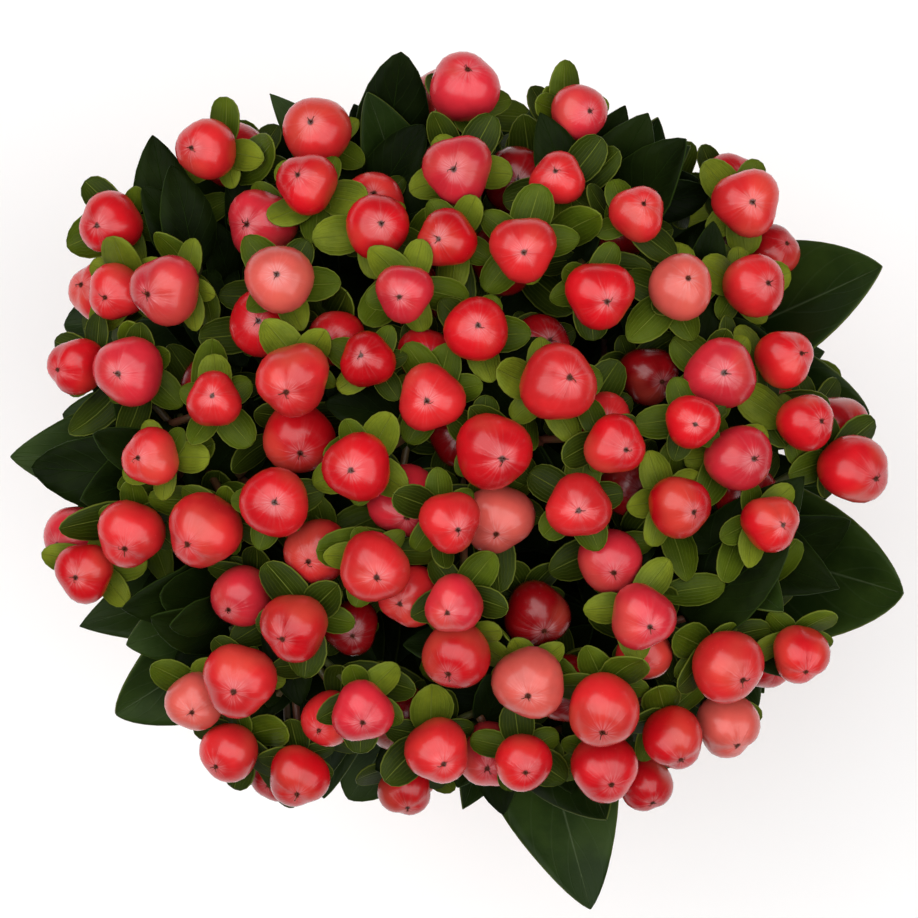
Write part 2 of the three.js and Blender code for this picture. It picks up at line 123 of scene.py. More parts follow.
def new_finish(name, **constants):
    """A new material, its shader's inputs with their constant values, and the place on the piece."""
    material = bpy.data.materials.new(name)
    material.use_nodes = True
    nodes = material.node_tree.nodes
    shader = nodes["Principled BSDF"].inputs
    for socket, value in constants.items():
        shader[socket.replace("_", " ")].default_value = value
    return material, shader, nodes.new("ShaderNodeTexCoord").outputs["Object"]


def roughen(shader, height, depth):
    """Gives the surface a fine relief from a height pattern."""
    bump = add_node("ShaderNodeBump", {"Height": height, "Distance": depth})
    connect(bump.outputs["Normal"], shader["Normal"])


def make_mesh(name, bm):
    """Makes a finished shape a mesh."""
    mesh = bpy.data.meshes.new(name)
    bm.to_mesh(mesh)
    bm.free()
    return mesh


def put_in_scene(name, data):
    """Puts a mesh, a light or a camera in the scene."""
    made = bpy.data.objects.new(name, data)
    bpy.context.scene.collection.objects.link(made)
    return made


def make_piece(name, bm, material, nodes=()):
    """Makes a finished shape a smooth piece of the plant, which stands for the named nodes."""
    piece = put_in_scene(name, make_mesh(name, bm))
    piece.data.shade_smooth()
    piece.data.materials.append(material)
    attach(piece, "root")
    if nodes:
        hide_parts(*nodes)
    return piece


def polar(azimuth, distance, height):
    return Vector((distance * math.cos(azimuth), distance * math.sin(azimuth), height))


def turned(profile, steps):
    """A closed shape turned about the upright axis from a profile of radius and height."""
    bm = bmesh.new()
    verts = [bm.verts.new((radius, 0, height)) for radius, height in profile]
    edges = [bm.edges.new(pair) for pair in zip(verts, verts[1:])]
    bmesh.ops.spin(
        bm, geom=verts + edges, axis=(0, 0, 1), cent=(0, 0, 0), angle=math.tau, steps=steps, use_merge=True
    )
    bmesh.ops.remove_doubles(bm, verts=bm.verts, dist=1e-6)
    bmesh.ops.recalc_face_normals(bm, faces=bm.faces)
    return bm


def clay_finish():
    """Fired clay with cloudy tones, turning marks, fine grain and patches of lime."""
    material, shader, place = new_finish("clay")
    cloudy = mask(speckle(place, 22.0, 5.0), 0.35, 0.68)
    colour = blend(cloudy, CLAY_RED, CLAY_PALE)
    scorched = mask(speckle(place, 9.0, 2.0), 0.56, 0.78, 0.0, 0.55)
    colour = blend(scorched, colour, CLAY_DARK)
    patches = mask(speckle(place, 34.0, 7.0, 0.65), 0.5, 0.72)
    height = component(place, "Z")
    below_rim = mask(height, POT_TOP - RIM_BAND - LIME_BELOW_RIM, POT_TOP - RIM_BAND)
    ends = number("ADD", below_rim, mask(height, LIME_OVER_FOOT, 0.0))
    limed = times(patches, number("ADD", ends, 0.25))
    colour = blend(times(limed, 0.6), colour, LIME)
    connect(colour, shader["Base Color"])
    connect(mask(limed, 0, 1, 0.82, 0.95), shader["Roughness"])
    turning = {"Vector": place, "Scale": 95.0, "Distortion": 1.6, "Detail": 2.0}
    marks = add_node("ShaderNodeTexWave", turning, bands_direction="Z").outputs["Fac"]
    relief = number("ADD", times(marks, 0.35), speckle(place, 900.0, 4.0))
    roughen(shader, relief, 0.00018)
    return material


shoulder = POT_TOP - RIM_BAND
bm = turned(
    [
        (0, 0),
        (FOOT_RADIUS, 0),
        (SHOULDER_RADIUS, shoulder),
        (RIM_RADIUS - RIM_DRAFT, shoulder),
        (RIM_RADIUS, POT_TOP),
        (RIM_RADIUS - RIM_DRAFT - WALL, POT_TOP),
        (SHOULDER_RADIUS - WALL, shoulder),
        (FOOT_RADIUS - WALL, WALL),
        (0, WALL),
    ],
    POT_STEPS,
)
sharp = [edge for edge in bm.edges if edge.calc_face_angle(0) > SHARP_EDGE]
bmesh.ops.bevel(bm, geom=sharp, offset=EDGE_ROUND, segments=3, affect="EDGES", profile=0.5, material=-1)
pot = make_piece("flower_pot", bm, clay_finish(), ["pot"])

bm = bmesh.new()
for i in range(DRAIN_HOLES):
    azimuth = math.tau * (i + 0.5) / DRAIN_HOLES
    place = Matrix.Translation(polar(azimuth, DRAIN_RING, WALL / 2))
    bmesh.ops.create_cone(
        bm, cap_ends=True, segments=DRAIN_SIDES, radius1=DRAIN_RADIUS, radius2=DRAIN_RADIUS, depth=WALL * 2,
        matrix=place,
    )
drill = put_in_scene("drill", make_mesh("drill", bm))
drilling = pot.modifiers.new("drain holes", "BOOLEAN")
drilling.object = drill
drilling.operation = "DIFFERENCE"
bpy.context.view_layer.update()
drilled = bpy.data.meshes.new_from_object(pot.evaluated_get(bpy.context.evaluated_depsgraph_get()))
pot.modifiers.remove(drilling)
pot.data = drilled
bpy.data.objects.remove(drill)

# The soil. Dark peaty compost fills the pot to just below its rim, uneven on top and strewn with crumbs of
# bark. It is loose, and only its upper face and what shows through the drain holes is seen.
SOIL_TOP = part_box("soil")[1].z
SOIL_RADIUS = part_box("soil")[1].x
SOIL_GAP = 0.0003
SOIL_STEPS = 84
SOIL_RINGS = 22
SOIL_UNEVEN = 0.0016
SOIL_LUMPS = 90
CRUMBS = 420
CRUMB_SIZE = (0.0008, 0.0028)
CRUMB_WIDTH = (0.5, 0.9)
CRUMB_HEIGHT = (0.3, 0.7)
CRUMB_RISE = 0.2
CRUMB_SEED = 31
PEAT = (0.018, 0.010, 0.006, 1)
PEAT_PALE = (0.040, 0.024, 0.014, 1)


def between(limits, share):
    return limits[0] + (limits[1] - limits[0]) * share


def seeded_numbers(seed):
    """A draw of numbers, from 0 to 1 or between other limits, in an order that the seed fixes."""
    state = seed

    def draw(limits=(0, 1)):
        nonlocal state
        state = (state * 1664525 + 1013904223) % 2**32
        return between(limits, state / 2**32)

    return draw


def soil_height(point):
    """The uneven top of the soil above a point."""
    return SOIL_TOP + SOIL_UNEVEN * noise.fractal(Vector((point.x, point.y, 0)) * SOIL_LUMPS, 0.8, 2, 4)


def soil_finish():
    """Matt peat with paler fibres, and a coarse crumbly relief."""
    material, shader, place = new_finish("soil", Roughness=0.96)
    fibres = mask(speckle(place, 520.0, 6.0, 0.7), 0.5, 0.72)
    connect(blend(fibres, PEAT, PEAT_PALE), shader["Base Color"])
    roughen(shader, speckle(place, 700.0, 6.0, 0.7), 0.0008)
    return material


low = WALL + SOIL_GAP
rings = [(SOIL_RADIUS * (SOIL_RINGS - k) / SOIL_RINGS, SOIL_TOP) for k in range(SOIL_RINGS + 1)]
bm = turned(
    [(0, low), (FOOT_RADIUS - WALL - SOIL_GAP, low), (SHOULDER_RADIUS - WALL - SOIL_GAP, shoulder), *rings],
    SOIL_STEPS,
)
for vert in bm.verts:
    if vert.co.z > SOIL_TOP - SOIL_UNEVEN / 2:
        vert.co.z = min(soil_height(vert.co), POT_TOP - EDGE_ROUND)
random = seeded_numbers(CRUMB_SEED)
for _ in range(CRUMBS):
    spot = polar(math.tau * random(), (SOIL_RADIUS - CRUMB_SIZE[1]) * math.sqrt(random()), 0)
    size = between(CRUMB_SIZE, random() ** 2)
    spot.z = soil_height(spot) + size * CRUMB_RISE
    turn = Matrix.Rotation(math.tau * random(), 4, (random() - 0.5, random() - 0.5, random() + 0.1))
    flat = Matrix.Diagonal((size, size * random(CRUMB_WIDTH), size * random(CRUMB_HEIGHT), 1))
    bmesh.ops.create_icosphere(bm, subdivisions=1, radius=1, matrix=Matrix.Translation(spot) @ turn @ flat)
make_piece("compost", bm, soil_finish(), ["soil"])

# The stems. Nine woody stems lean out from one root crown below the soil. Each is a straight shoot with thin
# brown bark, cracked lengthwise, with a slight knuckle at every pair of leaves, greener towards its tip. It
# forks a little below its own berries, so the places of the berries are worked out here.
CLUMP = Vector((0, 0, 0.040))
STEM_RINGS = ((0.0, (0,)), (14.5, (-74, -22, 24, 63, 104, 143, 182, 218)))
STEM_RADII = ((0.0, 0.0034), (0.004, 0.0024), (0.022, 0.0020))
STEM_TIP_RADIUS = 0.0014
STEM_OVER_HUB = 0.010
STEM_SIDES = 14
STEM_STEP = 0.0022
BARE_STEM_TOP = 0.119
CLEARANCE = 0.0003
BARK_RELIEF = 0.00022
BARK_RIDGES = (900, 140)
KNUCKLE = 0.00045
KNUCKLE_WIDTH = 0.0018
LOWEST_KNUCKLE = 0.124
LOWEST_PAIR = 0.126
PAIR_SPACING = 0.009
BARK = (0.085, 0.040, 0.022, 1)
BARK_PALE = (0.17, 0.098, 0.058, 1)
YOUNG_BARK = (0.075, 0.050, 0.016, 1)
YOUNG_FROM = 0.16
YOUNG_ABOVE = 0.23
CROWN_REACH = 0.080
CROWN_TOP = 0.276
CROWN_FALL = 0.032
CROWN_FALL_POWER = 2.4
CROWN_LOBES = ((2, 0.057, 18), (4, 0.027, 133), (7, 0.032, 97))
BERRY_SEED = 17
BERRY_RADIUS = (0.0053, 0.0071)
BERRY_TRIES = 160
BERRY_GAP = 0.0008
BERRY_LEAN = 0.55
BERRY_NOD = -0.22
BERRY_WOBBLE = 0.7
CALYX_RADIUS = (0.0095, 0.0125)
FOOT_ROOM = 0.002
HUB_DEPTH = 0.020
BERRY_LAYERS = (
    SimpleNamespace(name="dome", count=84, depth=(0, 0.005), start=0),
    SimpleNamespace(name="lower", count=20, depth=(0.007, 0.015), start=0),
    SimpleNamespace(name="side", count=12, depth=(0.022, 0.050), start=0.86),
    SimpleNamespace(name="under", count=26, depth=(0.010, 0.022), start=0),
)
# Each large outer leaf's azimuth, reach, height, length and width, and the radius of the patch near its tip
# that the berries leave in view
OUTER_LEAVES = (
    (-74, 0.095, 0.214, 0.056, 0.029, 0.011),
    (-41, 0.080, 0.206, 0.044, 0.024, 0),
    (-27, 0.070, 0.250, 0.036, 0.020, 0.007),
    (-18, 0.092, 0.224, 0.060, 0.036, 0.010),
    (24, 0.089, 0.230, 0.052, 0.032, 0.005),
    (40, 0.086, 0.224, 0.048, 0.026, 0),
    (58, 0.084, 0.236, 0.050, 0.030, 0.009),
    (80, 0.080, 0.226, 0.046, 0.024, 0.004),
    (104, 0.075, 0.244, 0.042, 0.020, 0.005),
    (118, 0.079, 0.224, 0.040, 0.016, 0),
    (139, 0.086, 0.230, 0.046, 0.026, 0.005),
    (181, 0.087, 0.226, 0.050, 0.028, 0.007),
    (210, 0.081, 0.244, 0.050, 0.030, 0.011),
    (218, 0.086, 0.214, 0.046, 0.028, 0),
    (236, 0.079, 0.212, 0.044, 0.026, 0),
)
SHOWN_BEHIND_TIP = 0.014


def crown_reach(azimuth):
    """The crown's reach from the pot's axis in one direction."""
    lobes = sum(size * math.cos(waves * azimuth + math.radians(phase)) for waves, size, phase in CROWN_LOBES)
    return CROWN_REACH * (1 + lobes)


def dome_height(share):
    """The height of the berries' dome, by the share of the crown's reach."""
    return CROWN_TOP - CROWN_FALL * share**CROWN_FALL_POWER


def point_on_stem(stem, height):
    return CLUMP + stem.direction * ((height - CLUMP.z) / stem.direction.z)


def room_in_cone(stem, point):
    """How far a point lies inside the stem's own cone of space, which is negative outside it."""
    return min((point - CLUMP).dot(wall) for wall in stem.walls)


def nearest_stem(point):
    return max(stems, key=lambda stem: (point - CLUMP).dot(stem.direction))


def fits(stem, points):
    low = BARE_STEM_TOP + CLEARANCE
    return all(point.z > low and (not stem or room_in_cone(stem, point) > CLEARANCE / 2) for point in points)


def hides_leaf(centre, radius):
    """Whether a berry would cover the patch of a large leaf that stays in view from above."""
    for azimuth, reach, *_, shown in OUTER_LEAVES:
        middle = polar(math.radians(azimuth), reach - SHOWN_BEHIND_TIP, centre.z)
        if shown > 0 and (middle - centre).length < shown + radius:
            return True
    return False


def place_berries():
    """Places the berries one by one, each at the roomiest of some tries, with its foot in a stem's cone."""
    random = seeded_numbers(BERRY_SEED)
    berries = []
    for layer in BERRY_LAYERS:
        for _ in range(layer.count):
            radius = random(BERRY_RADIUS)
            calyx = random(CALYX_RADIUS)
            spin = math.tau * random()
            lean_x, lean_y = BERRY_WOBBLE * (random() - 0.5), BERRY_WOBBLE * (random() - 0.5)
            wobble = Vector((lean_x, lean_y + BERRY_NOD, 0))
            best = None
            for _ in range(BERRY_TRIES):
                azimuth = math.tau * random()
                share = math.sqrt(random((layer.start**2, 1)))
                depth = random(layer.depth)
                centre = polar(azimuth, share * (crown_reach(azimuth) - radius), dome_height(share) - depth)
                axis = (polar(azimuth, BERRY_LEAN * share, 1) + wobble).normalized()
                foot = centre - axis * radius
                stem = nearest_stem(foot)
                if room_in_cone(stem, foot) < FOOT_ROOM or hides_leaf(centre, radius):
                    continue
                gaps = [(other.centre - centre).length - other.radius - radius for other in berries]
                gap = min(gaps, default=1)
                if gap > BERRY_GAP and (best is None or gap > best.gap):
                    best = SimpleNamespace(centre=centre, axis=axis, foot=foot, stem=stem, gap=gap)
            if best is None:
                continue
            best.radius, best.calyx, best.spin, best.layer = radius, calyx, spin, layer.name
            berries.append(best)
    return berries


def add_limb(bm, points, radii, sides):
    """A round limb through some points: a capped circle, extruded and turned from each point to the next."""
    neighbours = zip(points[:1] + points, points[1:] + points[-1:])
    tangents = [(after - before).normalized() for before, after in neighbours]
    start = Matrix.Translation(points[0]) @ tangents[0].to_track_quat("Z", "Y").to_matrix().to_4x4()
    ring = bmesh.ops.create_circle(bm, cap_ends=True, radius=radii[0], segments=sides, matrix=start)["verts"]
    edges = list({edge for vert in ring for edge in vert.link_edges})
    limb = list(ring)
    for k in range(1, len(points)):
        geometry = bmesh.ops.extrude_edge_only(bm, edges=edges)["geom"]
        ring = [item for item in geometry if isinstance(item, bmesh.types.BMVert)]
        edges = [item for item in geometry if isinstance(item, bmesh.types.BMEdge)]
        turn = tangents[k - 1].rotation_difference(tangents[k]).to_matrix().to_4x4()
        size = Matrix.Scale(radii[k] / radii[k - 1], 4)
        step = Matrix.Translation(points[k]) @ turn @ size @ Matrix.Translation(-points[k - 1])
        bmesh.ops.transform(bm, matrix=step, verts=ring)
        limb += ring
    bmesh.ops.edgeloop_fill(bm, edges=edges)
    return limb


def stem_radius(height, top):
    """The stem's taper: a flare at the soil, then a slow run to its tip, with a knuckle at each leaf pair."""
    above = height - stem_foot
    for (low, wide), (high, narrow) in zip(STEM_RADII, STEM_RADII[1:]):
        if above < high:
            return wide + (narrow - wide) * (above - low) / (high - low)
    low, wide = STEM_RADII[-1]
    share = (height - stem_foot - low) / (top - stem_foot - low)
    nearest = (height - LOWEST_PAIR) % PAIR_SPACING
    beside = min(nearest, PAIR_SPACING - nearest)
    knuckle = KNUCKLE * max(0, 1 - beside / KNUCKLE_WIDTH) if height > LOWEST_KNUCKLE else 0
    return between((wide, STEM_TIP_RADIUS), share) + knuckle


def stretch(place, scale):
    """A place drawn out or pressed together along each axis."""
    return add_node("ShaderNodeMapping", {"Vector": place, "Scale": scale}).outputs["Vector"]


def bark_finish():
    """Brown bark with pale cracks lengthwise, and a green cast where the wood is young."""
    material, shader, place = new_finish("bark", Roughness=0.78)
    cracks = mask(speckle(stretch(place, (1, 1, 0.16)), 1500.0, 5.0, 0.65), 0.46, 0.64)
    colour = blend(cracks, BARK, BARK_PALE)
    young = mask(component(place, "Z"), YOUNG_FROM, YOUNG_ABOVE, 0, 0.8)
    connect(blend(young, colour, YOUNG_BARK), shader["Base Color"])
    roughen(shader, cracks, 0.0002)
    return material


stem_foot = SOIL_TOP + CLEARANCE
stems = [
    SimpleNamespace(
        azimuth=math.radians(azimuth),
        direction=polar(math.radians(azimuth), math.sin(math.radians(lean)), math.cos(math.radians(lean))),
    )
    for lean, azimuths in STEM_RINGS
    for azimuth in azimuths
]
for stem in stems:
    stem.walls = [(stem.direction - other.direction).normalized() for other in stems if other is not stem]
berries = place_berries()
for stem in stems:
    stem.berries = [berry for berry in berries if berry.stem is stem]
    domed = [berry for berry in stem.berries if berry.layer in ("dome", "lower")]
    stem.hub = sum(berry.foot.z for berry in domed) / len(domed) - HUB_DEPTH

bm = bmesh.new()
for stem in stems:
    top = stem.hub + STEM_OVER_HUB
    count = math.ceil((top - stem_foot) / STEM_STEP)
    heights = [stem_foot + (top - stem_foot) * k / count for k in range(count + 1)]
    points = [point_on_stem(stem, height) for height in heights]
    radii = [stem_radius(height, top) for height in heights]
    for vert in add_limb(bm, points, radii, STEM_SIDES):
        outward = vert.co - point_on_stem(stem, vert.co.z)
        across, along = BARK_RIDGES
        ridge = noise.noise(Vector((vert.co.x * across, vert.co.y * across, vert.co.z * along)))
        vert.co += outward.normalized() * BARK_RELIEF * ridge
bmesh.ops.recalc_face_normals(bm, faces=bm.faces)
stem_nodes = [f"stem_{n:02d}" for n in range(1, len(stems) + 1)]
make_piece("woody_stems", bm, bark_finish(), stem_nodes)

# The twigs. Each stem forks under the dome into two pairs of arms at right angles, and every arm forks again
# to the feet of its berries. They are thin, wiry green shoots with a red flush, and bend up into the fruit.
ARMS = 4
ARM_FORKS = (0.15, 0.7)
ARM_TURNS = (0, 0.33, 0.67)
ARM_SPACING = 0.009
SPARE_STARTS = (0.004, -0.004, 0.008, 0.014, 0.020)
SIDE_SHOOT_RISE = 0.014
TWIG_SHARES = (0.2, 0.35, 0.5, 0.65, 0.8, 0.95)
TWIG_RADII = (0.0009, 0.00072)
TWIG_SIDES = 6
TWIG_STEPS = 6
TWIG_BEND = 0.45
TWIG_SINK = 0.001
BERRY_LOBE = 1.06
BERRY_MARGIN = 0.001
TWIG_GREEN = (0.058, 0.070, 0.016, 1)
TWIG_RED = (0.10, 0.028, 0.014, 1)


def clear_of_berries(points, ignored=None):
    return all(
        (point - berry.centre).length > berry.radius * BERRY_LOBE + BERRY_MARGIN
        for berry in berries
        if berry is not ignored
        for point in points
    )


def bear(berry, starts):
    """Bears a berry on a twig from the first of some starts that has a clear way to it."""
    for start in starts:
        if clear_of_berries([start.lerp(berry.foot, share) for share in TWIG_SHARES], berry):
            berry.start = start
            return True
    return False


def grow_arms(stem):
    """Finds where each berry's twig starts: on the stem, or on the leading twig of its arm."""
    top = point_on_stem(stem, stem.hub + ARM_SPACING)
    arms = [[] for _ in range(ARMS)]
    for berry in stem.berries:
        if berry.layer == "side":
            continue
        turn = (math.atan2(berry.foot.y - top.y, berry.foot.x - top.x) - stem.azimuth) / math.tau
        arms[math.floor((turn + 1 + 0.5 / ARMS) * ARMS) % ARMS].append(berry)
    for index, members in enumerate(arms):
        start = point_on_stem(stem, stem.hub + (ARM_SPACING if index % 2 else 0))
        cad_members = [berry for berry in members if berry.layer != "under"]
        cad_members.sort(key=lambda berry: -(berry.foot - start).length)
        added = [berry for berry in members if berry.layer == "under"]
        tip = None
        for rank, berry in enumerate(cad_members + added):
            shares = [between(ARM_FORKS, (rank / max(len(cad_members), 1) + turn) % 1) for turn in ARM_TURNS]
            forks = [start.lerp(tip or start, share) for share in shares]
            spares = [point_on_stem(stem, start.z - drop) for drop in SPARE_STARTS]
            if bear(berry, forks + spares) and tip is None:
                tip = berry.foot
    for berry in stem.berries:
        if berry.layer == "side":
            bear(berry, [point_on_stem(stem, berry.foot.z - SIDE_SHOOT_RISE)])


def twig_path(berry):
    """The twig's gentle curve: out from its fork, and up along the berry's axis into its foot."""
    reach = (berry.foot - berry.start).length
    straight = berry.start.lerp(berry.foot, 1 - TWIG_BEND)
    bent = berry.foot - berry.axis * (reach * TWIG_BEND)
    knee = straight.lerp(bent, 0.5)
    end = berry.foot + berry.axis * TWIG_SINK
    path = []
    for k in range(TWIG_STEPS + 1):
        share = k / TWIG_STEPS
        path.append(berry.start.lerp(knee, share).lerp(knee.lerp(end, share), share))
    return path


def twig_finish():
    """Smooth green rind with a red flush that comes and goes along the twig."""
    material, shader, place = new_finish("twig", Roughness=0.5)
    flush = mask(speckle(place, 60.0, 3.0), 0.4, 0.62)
    connect(blend(flush, TWIG_GREEN, TWIG_RED), shader["Base Color"])
    roughen(shader, speckle(stretch(place, (1, 1, 0.2)), 2200.0, 2.0), 0.0001)
    return material


for stem in stems:
    grow_arms(stem)
berries = [berry for berry in berries if hasattr(berry, "start")]
bm = bmesh.new()
for berry in berries:
    berry.path = twig_path(berry)
    radii = [between(TWIG_RADII, k / TWIG_STEPS) for k in range(TWIG_STEPS + 1)]
    add_limb(bm, berry.path, radii, TWIG_SIDES)
bmesh.ops.recalc_face_normals(bm, faces=bm.faces)
head_nodes = [f"head_{n:02d}" for n in range(1, len(stems) + 1)]
twigs = make_piece("twigs", bm, twig_finish(), head_nodes)

# The large leaves. Stiff oval blades whose tips show past the berries, each from the stem nearest to its tip.
# They are dark green and satiny, with a fine pale midrib, net veins and a thin pale edge.
LEAF_SIZES = (1, 0.82, 0.66, 0.5)
LEAF_SEED = 500
LEAF_CORNERS = ((1, 0), (0.62, 0.42), (0.22, 0.44), (0.62, -0.42), (0.22, -0.44), (0.3, 0))
LEAF_FOLD = 0.25
LEAF_FOLDS = (0.4, 1.7)
LEAF_ARCH = 0.35
LEAF_ARCHES = (0.5, 1.3)
LEAF_DROOP = (-0.03, 0.05)
LEAF_WAVE = (0.02, 0.09)
LEAF_WAVES = (6, 13)
LEAF_ROLL = 0.5
LEAF_ROOT = 0.5
LEAF_TIP = (0.62, 0.90)
LEAF_THICKNESS = 0.00035
LEAST_WIDTH = 0.0001
LEAF_SINK = 0.003
LEAF_OVERHANG = 0.002
OUTER_SINK = -0.004
OUTER_OVERHANG = 0.022
OUTER_GRID = (24, 10)
CROSSING_FROM = 0.35
CROSSING_STEPS = 5
CROSSING_SIZES = (1, 0.84, 0.68)
CROSSING_ARCHES = (1, 0.3, -0.4)
BLADE_MARGIN = 0.0002
LEAF_TONES = {
    "dark": (0.010, 0.022, 0.0030, 1),
    "light": (0.023, 0.044, 0.0060, 1),
    "rib": (0.060, 0.085, 0.036, 1),
    "edge": (0.075, 0.100, 0.014, 1),
    "underside": (0.040, 0.066, 0.020, 1),
}
LEAF_MARKS = {"Rib": 0.030, "Veins": 9.0, "Slant": 2.6, "Fineness": 0.08, "Edge": 0.03}


def set_place(origin, x, y):
    """A place whose x and y run in two directions at right angles."""
    return Matrix.Translation(origin) @ Matrix((x, y, x.cross(y))).transposed().to_4x4()


def blade_outline(share, root, tip):
    """Half a blade's width as a share of its largest. A smaller root or tip makes a rounder end."""
    widest = root / (root + tip)
    return share**root * (1 - share) ** tip / (widest**root * (1 - widest) ** tip)


def blade_point(blade, share, side):
    """A point of the blade's middle sheet, from its midrib at 0 to its edges at -1 and 1."""
    outline = blade_outline(share, *blade.ends)
    half = max(blade.width / 2 * outline, LEAST_WIDTH)
    wave = blade.wave * outline * abs(side) ** 3 * math.sin(blade.waves * share + blade.phase + side)
    arch = blade.length * (blade.arch * share * (1 - share) - blade.droop * share**3)
    return Vector((share * blade.length, side * half, blade.fold * abs(side * half) + arch + wave))


def under_dome(point, sink, overhang):
    distance = math.hypot(point.x, point.y)
    reach = crown_reach(math.atan2(point.y, point.x))
    return distance < reach + overhang and point.z < dome_height(min(distance / reach, 1)) - sink


def place_blade(stem, root, direction, length, width, sink=LEAF_SINK, overhang=LEAF_OVERHANG):
    """A blade at the first size that keeps to the head's space and clear of the berries, or none."""
    x = direction.normalized()
    place = set_place(root, x, Vector((0, 0, 1)).cross(x).normalized())
    for size in LEAF_SIZES:
        long, wide = length * size, width * size
        corners = []
        for along, side in LEAF_CORNERS:
            height = LEAF_FOLD * abs(side) * wide + LEAF_ARCH * long * along * (1 - along)
            corners.append(place @ Vector((along * long, side * wide, height)))
        if fits(stem, corners) and clear_of_berries(corners):
            if all(under_dome(corner, sink, overhang) for corner in corners):
                return SimpleNamespace(place=place, length=long, width=wide, fold=LEAF_FOLD, arch=LEAF_ARCH)
    return None


def enliven(blade, random):
    """Gives a blade its own roll, fold, arch, droop, blunt or pointed tip and wavy edge."""
    blade.place = blade.place @ Matrix.Rotation(random((-LEAF_ROLL, LEAF_ROLL)), 4, "X")
    blade.ends = (LEAF_ROOT, random(LEAF_TIP))
    blade.fold *= random(LEAF_FOLDS)
    blade.arch *= random(LEAF_ARCHES)
    blade.droop = random(LEAF_DROOP)
    blade.wave = blade.width * random(LEAF_WAVE)
    blade.waves = random(LEAF_WAVES)
    blade.phase = math.tau * random()
    return blade


def stands_clear(blade, berry):
    """Counts a blade in, unless past its root it would cross another blade or a berry that isn't its own."""
    shares = [between((CROSSING_FROM, 1), k / CROSSING_STEPS) for k in range(CROSSING_STEPS + 1)]
    points = [blade.place @ blade_point(blade, share, side) for share in shares for side in (-1, 0, 1)]
    faces = [(n, n + 1, n + 4, n + 3) for n in range(3 * CROSSING_STEPS) if n % 3 < 2]
    middle = blade.place @ Vector((blade.length / 2, 0, 0))
    tree = BVHTree.FromPolygons(points, faces)
    for other in berries:
        if other is not berry and (other.centre - middle).length < blade.length:
            if tree.find_nearest(other.centre, other.radius + BLADE_MARGIN)[0] is not None:
                return False
    for other in standing:
        if (other.middle - middle).length < (other.length + blade.length) / 2 and tree.overlap(other.tree):
            return False
    standing.append(SimpleNamespace(middle=middle, length=blade.length, tree=tree))
    return True


def shrinks_to_fit(blade, berry=None):
    """Makes a blade flatter and then smaller until it stands clear, or says that it doesn't."""
    length, width, arch = blade.length, blade.width, blade.arch
    for size in CROSSING_SIZES:
        for flatter in CROSSING_ARCHES:
            blade.length, blade.width, blade.arch = length * size, width * size, arch * flatter
            if stands_clear(blade, berry):
                return True
    blade.length, blade.width, blade.arch = length, width, arch
    return False


def new_mapped_shape():
    """An empty shape whose faces carry a map of their own."""
    bm = bmesh.new()
    bm.loops.layers.uv.new("map")
    return bm


def add_blade(bm, blade, grid):
    """Shapes a flat grid into a blade, whose own map runs from root to tip and from edge to edge."""
    made = bmesh.ops.create_grid(bm, x_segments=grid[0], y_segments=grid[1], size=0.5, calc_uvs=True)
    for vert in made["verts"]:
        share = (1 - math.cos(math.pi * (vert.co.x + 0.5))) / 2
        vert.co = blade.place @ blade_point(blade, share, 2 * vert.co.y)


def add_blades(bm, blades, random, grid, kept=False):
    """Adds the blades that stand clear of the others, or all if they are kept, and says if there are any."""
    clear = [blade for blade in blades if shrinks_to_fit(enliven(blade, random)) or kept]
    for blade in clear:
        add_blade(bm, blade, grid)
    return bool(clear)


def make_blades(name, bm, material, thickness=LEAF_THICKNESS):
    """Makes thin blades a piece, with half of their thickness above their middle sheet and half below."""
    shell = make_piece(name, bm, material).modifiers.new("thickness", "SOLIDIFY")
    shell.thickness = thickness
    shell.offset = 0


def grow_outer_leaves(places, own_cone):
    """Large leaves with their tips at the given places, which may have to keep to their own stem's cone."""
    blades = []
    for azimuth, reach, height, length, width in places:
        tip = polar(azimuth, reach, height)
        stem = nearest_stem(tip)
        level = point_on_stem(stem, height)
        across = math.hypot(tip.x - level.x, tip.y - level.y)
        root = point_on_stem(stem, max(height - math.sqrt(max(length**2 - across**2, 0)), LOWEST_PAIR))
        run = tip - root
        space = stem if own_cone else None
        blades.append(place_blade(space, root, run, run.length, width, OUTER_SINK, OUTER_OVERHANG))
    return [blade for blade in blades if blade]


def new_group(name, inputs):
    """An empty shader node group with named inputs, of which one without a value is a place on the piece."""
    tree = bpy.data.node_groups.new(name, "ShaderNodeTree")
    for socket, value in inputs.items():
        kind = "NodeSocketVector" if value is None else "NodeSocketFloat"
        made = tree.interface.new_socket(name=socket, in_out="INPUT", socket_type=kind)
        if value is not None:
            made.default_value = value
    return tree, tree.nodes.new("NodeGroupInput").outputs


def give_out(tree, values):
    """Gives a shader node group its named outputs, each with its value."""
    for socket in values:
        tree.interface.new_socket(name=socket, in_out="OUTPUT", socket_type="NodeSocketFloat")
    made = tree.nodes.new("NodeGroupOutput").inputs
    for socket, value in values.items():
        connect(value, made[socket])


def make_blade_marks():
    """Masks for the midrib, the veins, the edge and the tip half of a blade, from its own map."""
    inputs = {"Map": None, "Rib": 0.05, "Veins": 9.0, "Slant": 3.0, "Fineness": 0.12, "Edge": 0.06}
    tree, given = new_group("blade marks", inputs)
    off_centre = number("SUBTRACT", component(given["Map"], "Y"), 0.5)
    across = times(number("ABSOLUTE", off_centre), 2.0)
    along = component(given["Map"], "X")
    order = times(along, given["Veins"])
    phase = number("SUBTRACT", order, times(across, given["Slant"]))
    marks = {
        "Rib": mask(across, 0.0, given["Rib"], 1.0, 0.0),
        "Veins": mask(number("PINGPONG", phase, 0.5), 0.0, given["Fineness"], 1.0, 0.0),
        "Edge": mask(across, number("SUBTRACT", 1.0, given["Edge"]), 1.0),
        "Tip": mask(along, 0.2, 0.95),
    }
    give_out(tree, marks)
    return tree


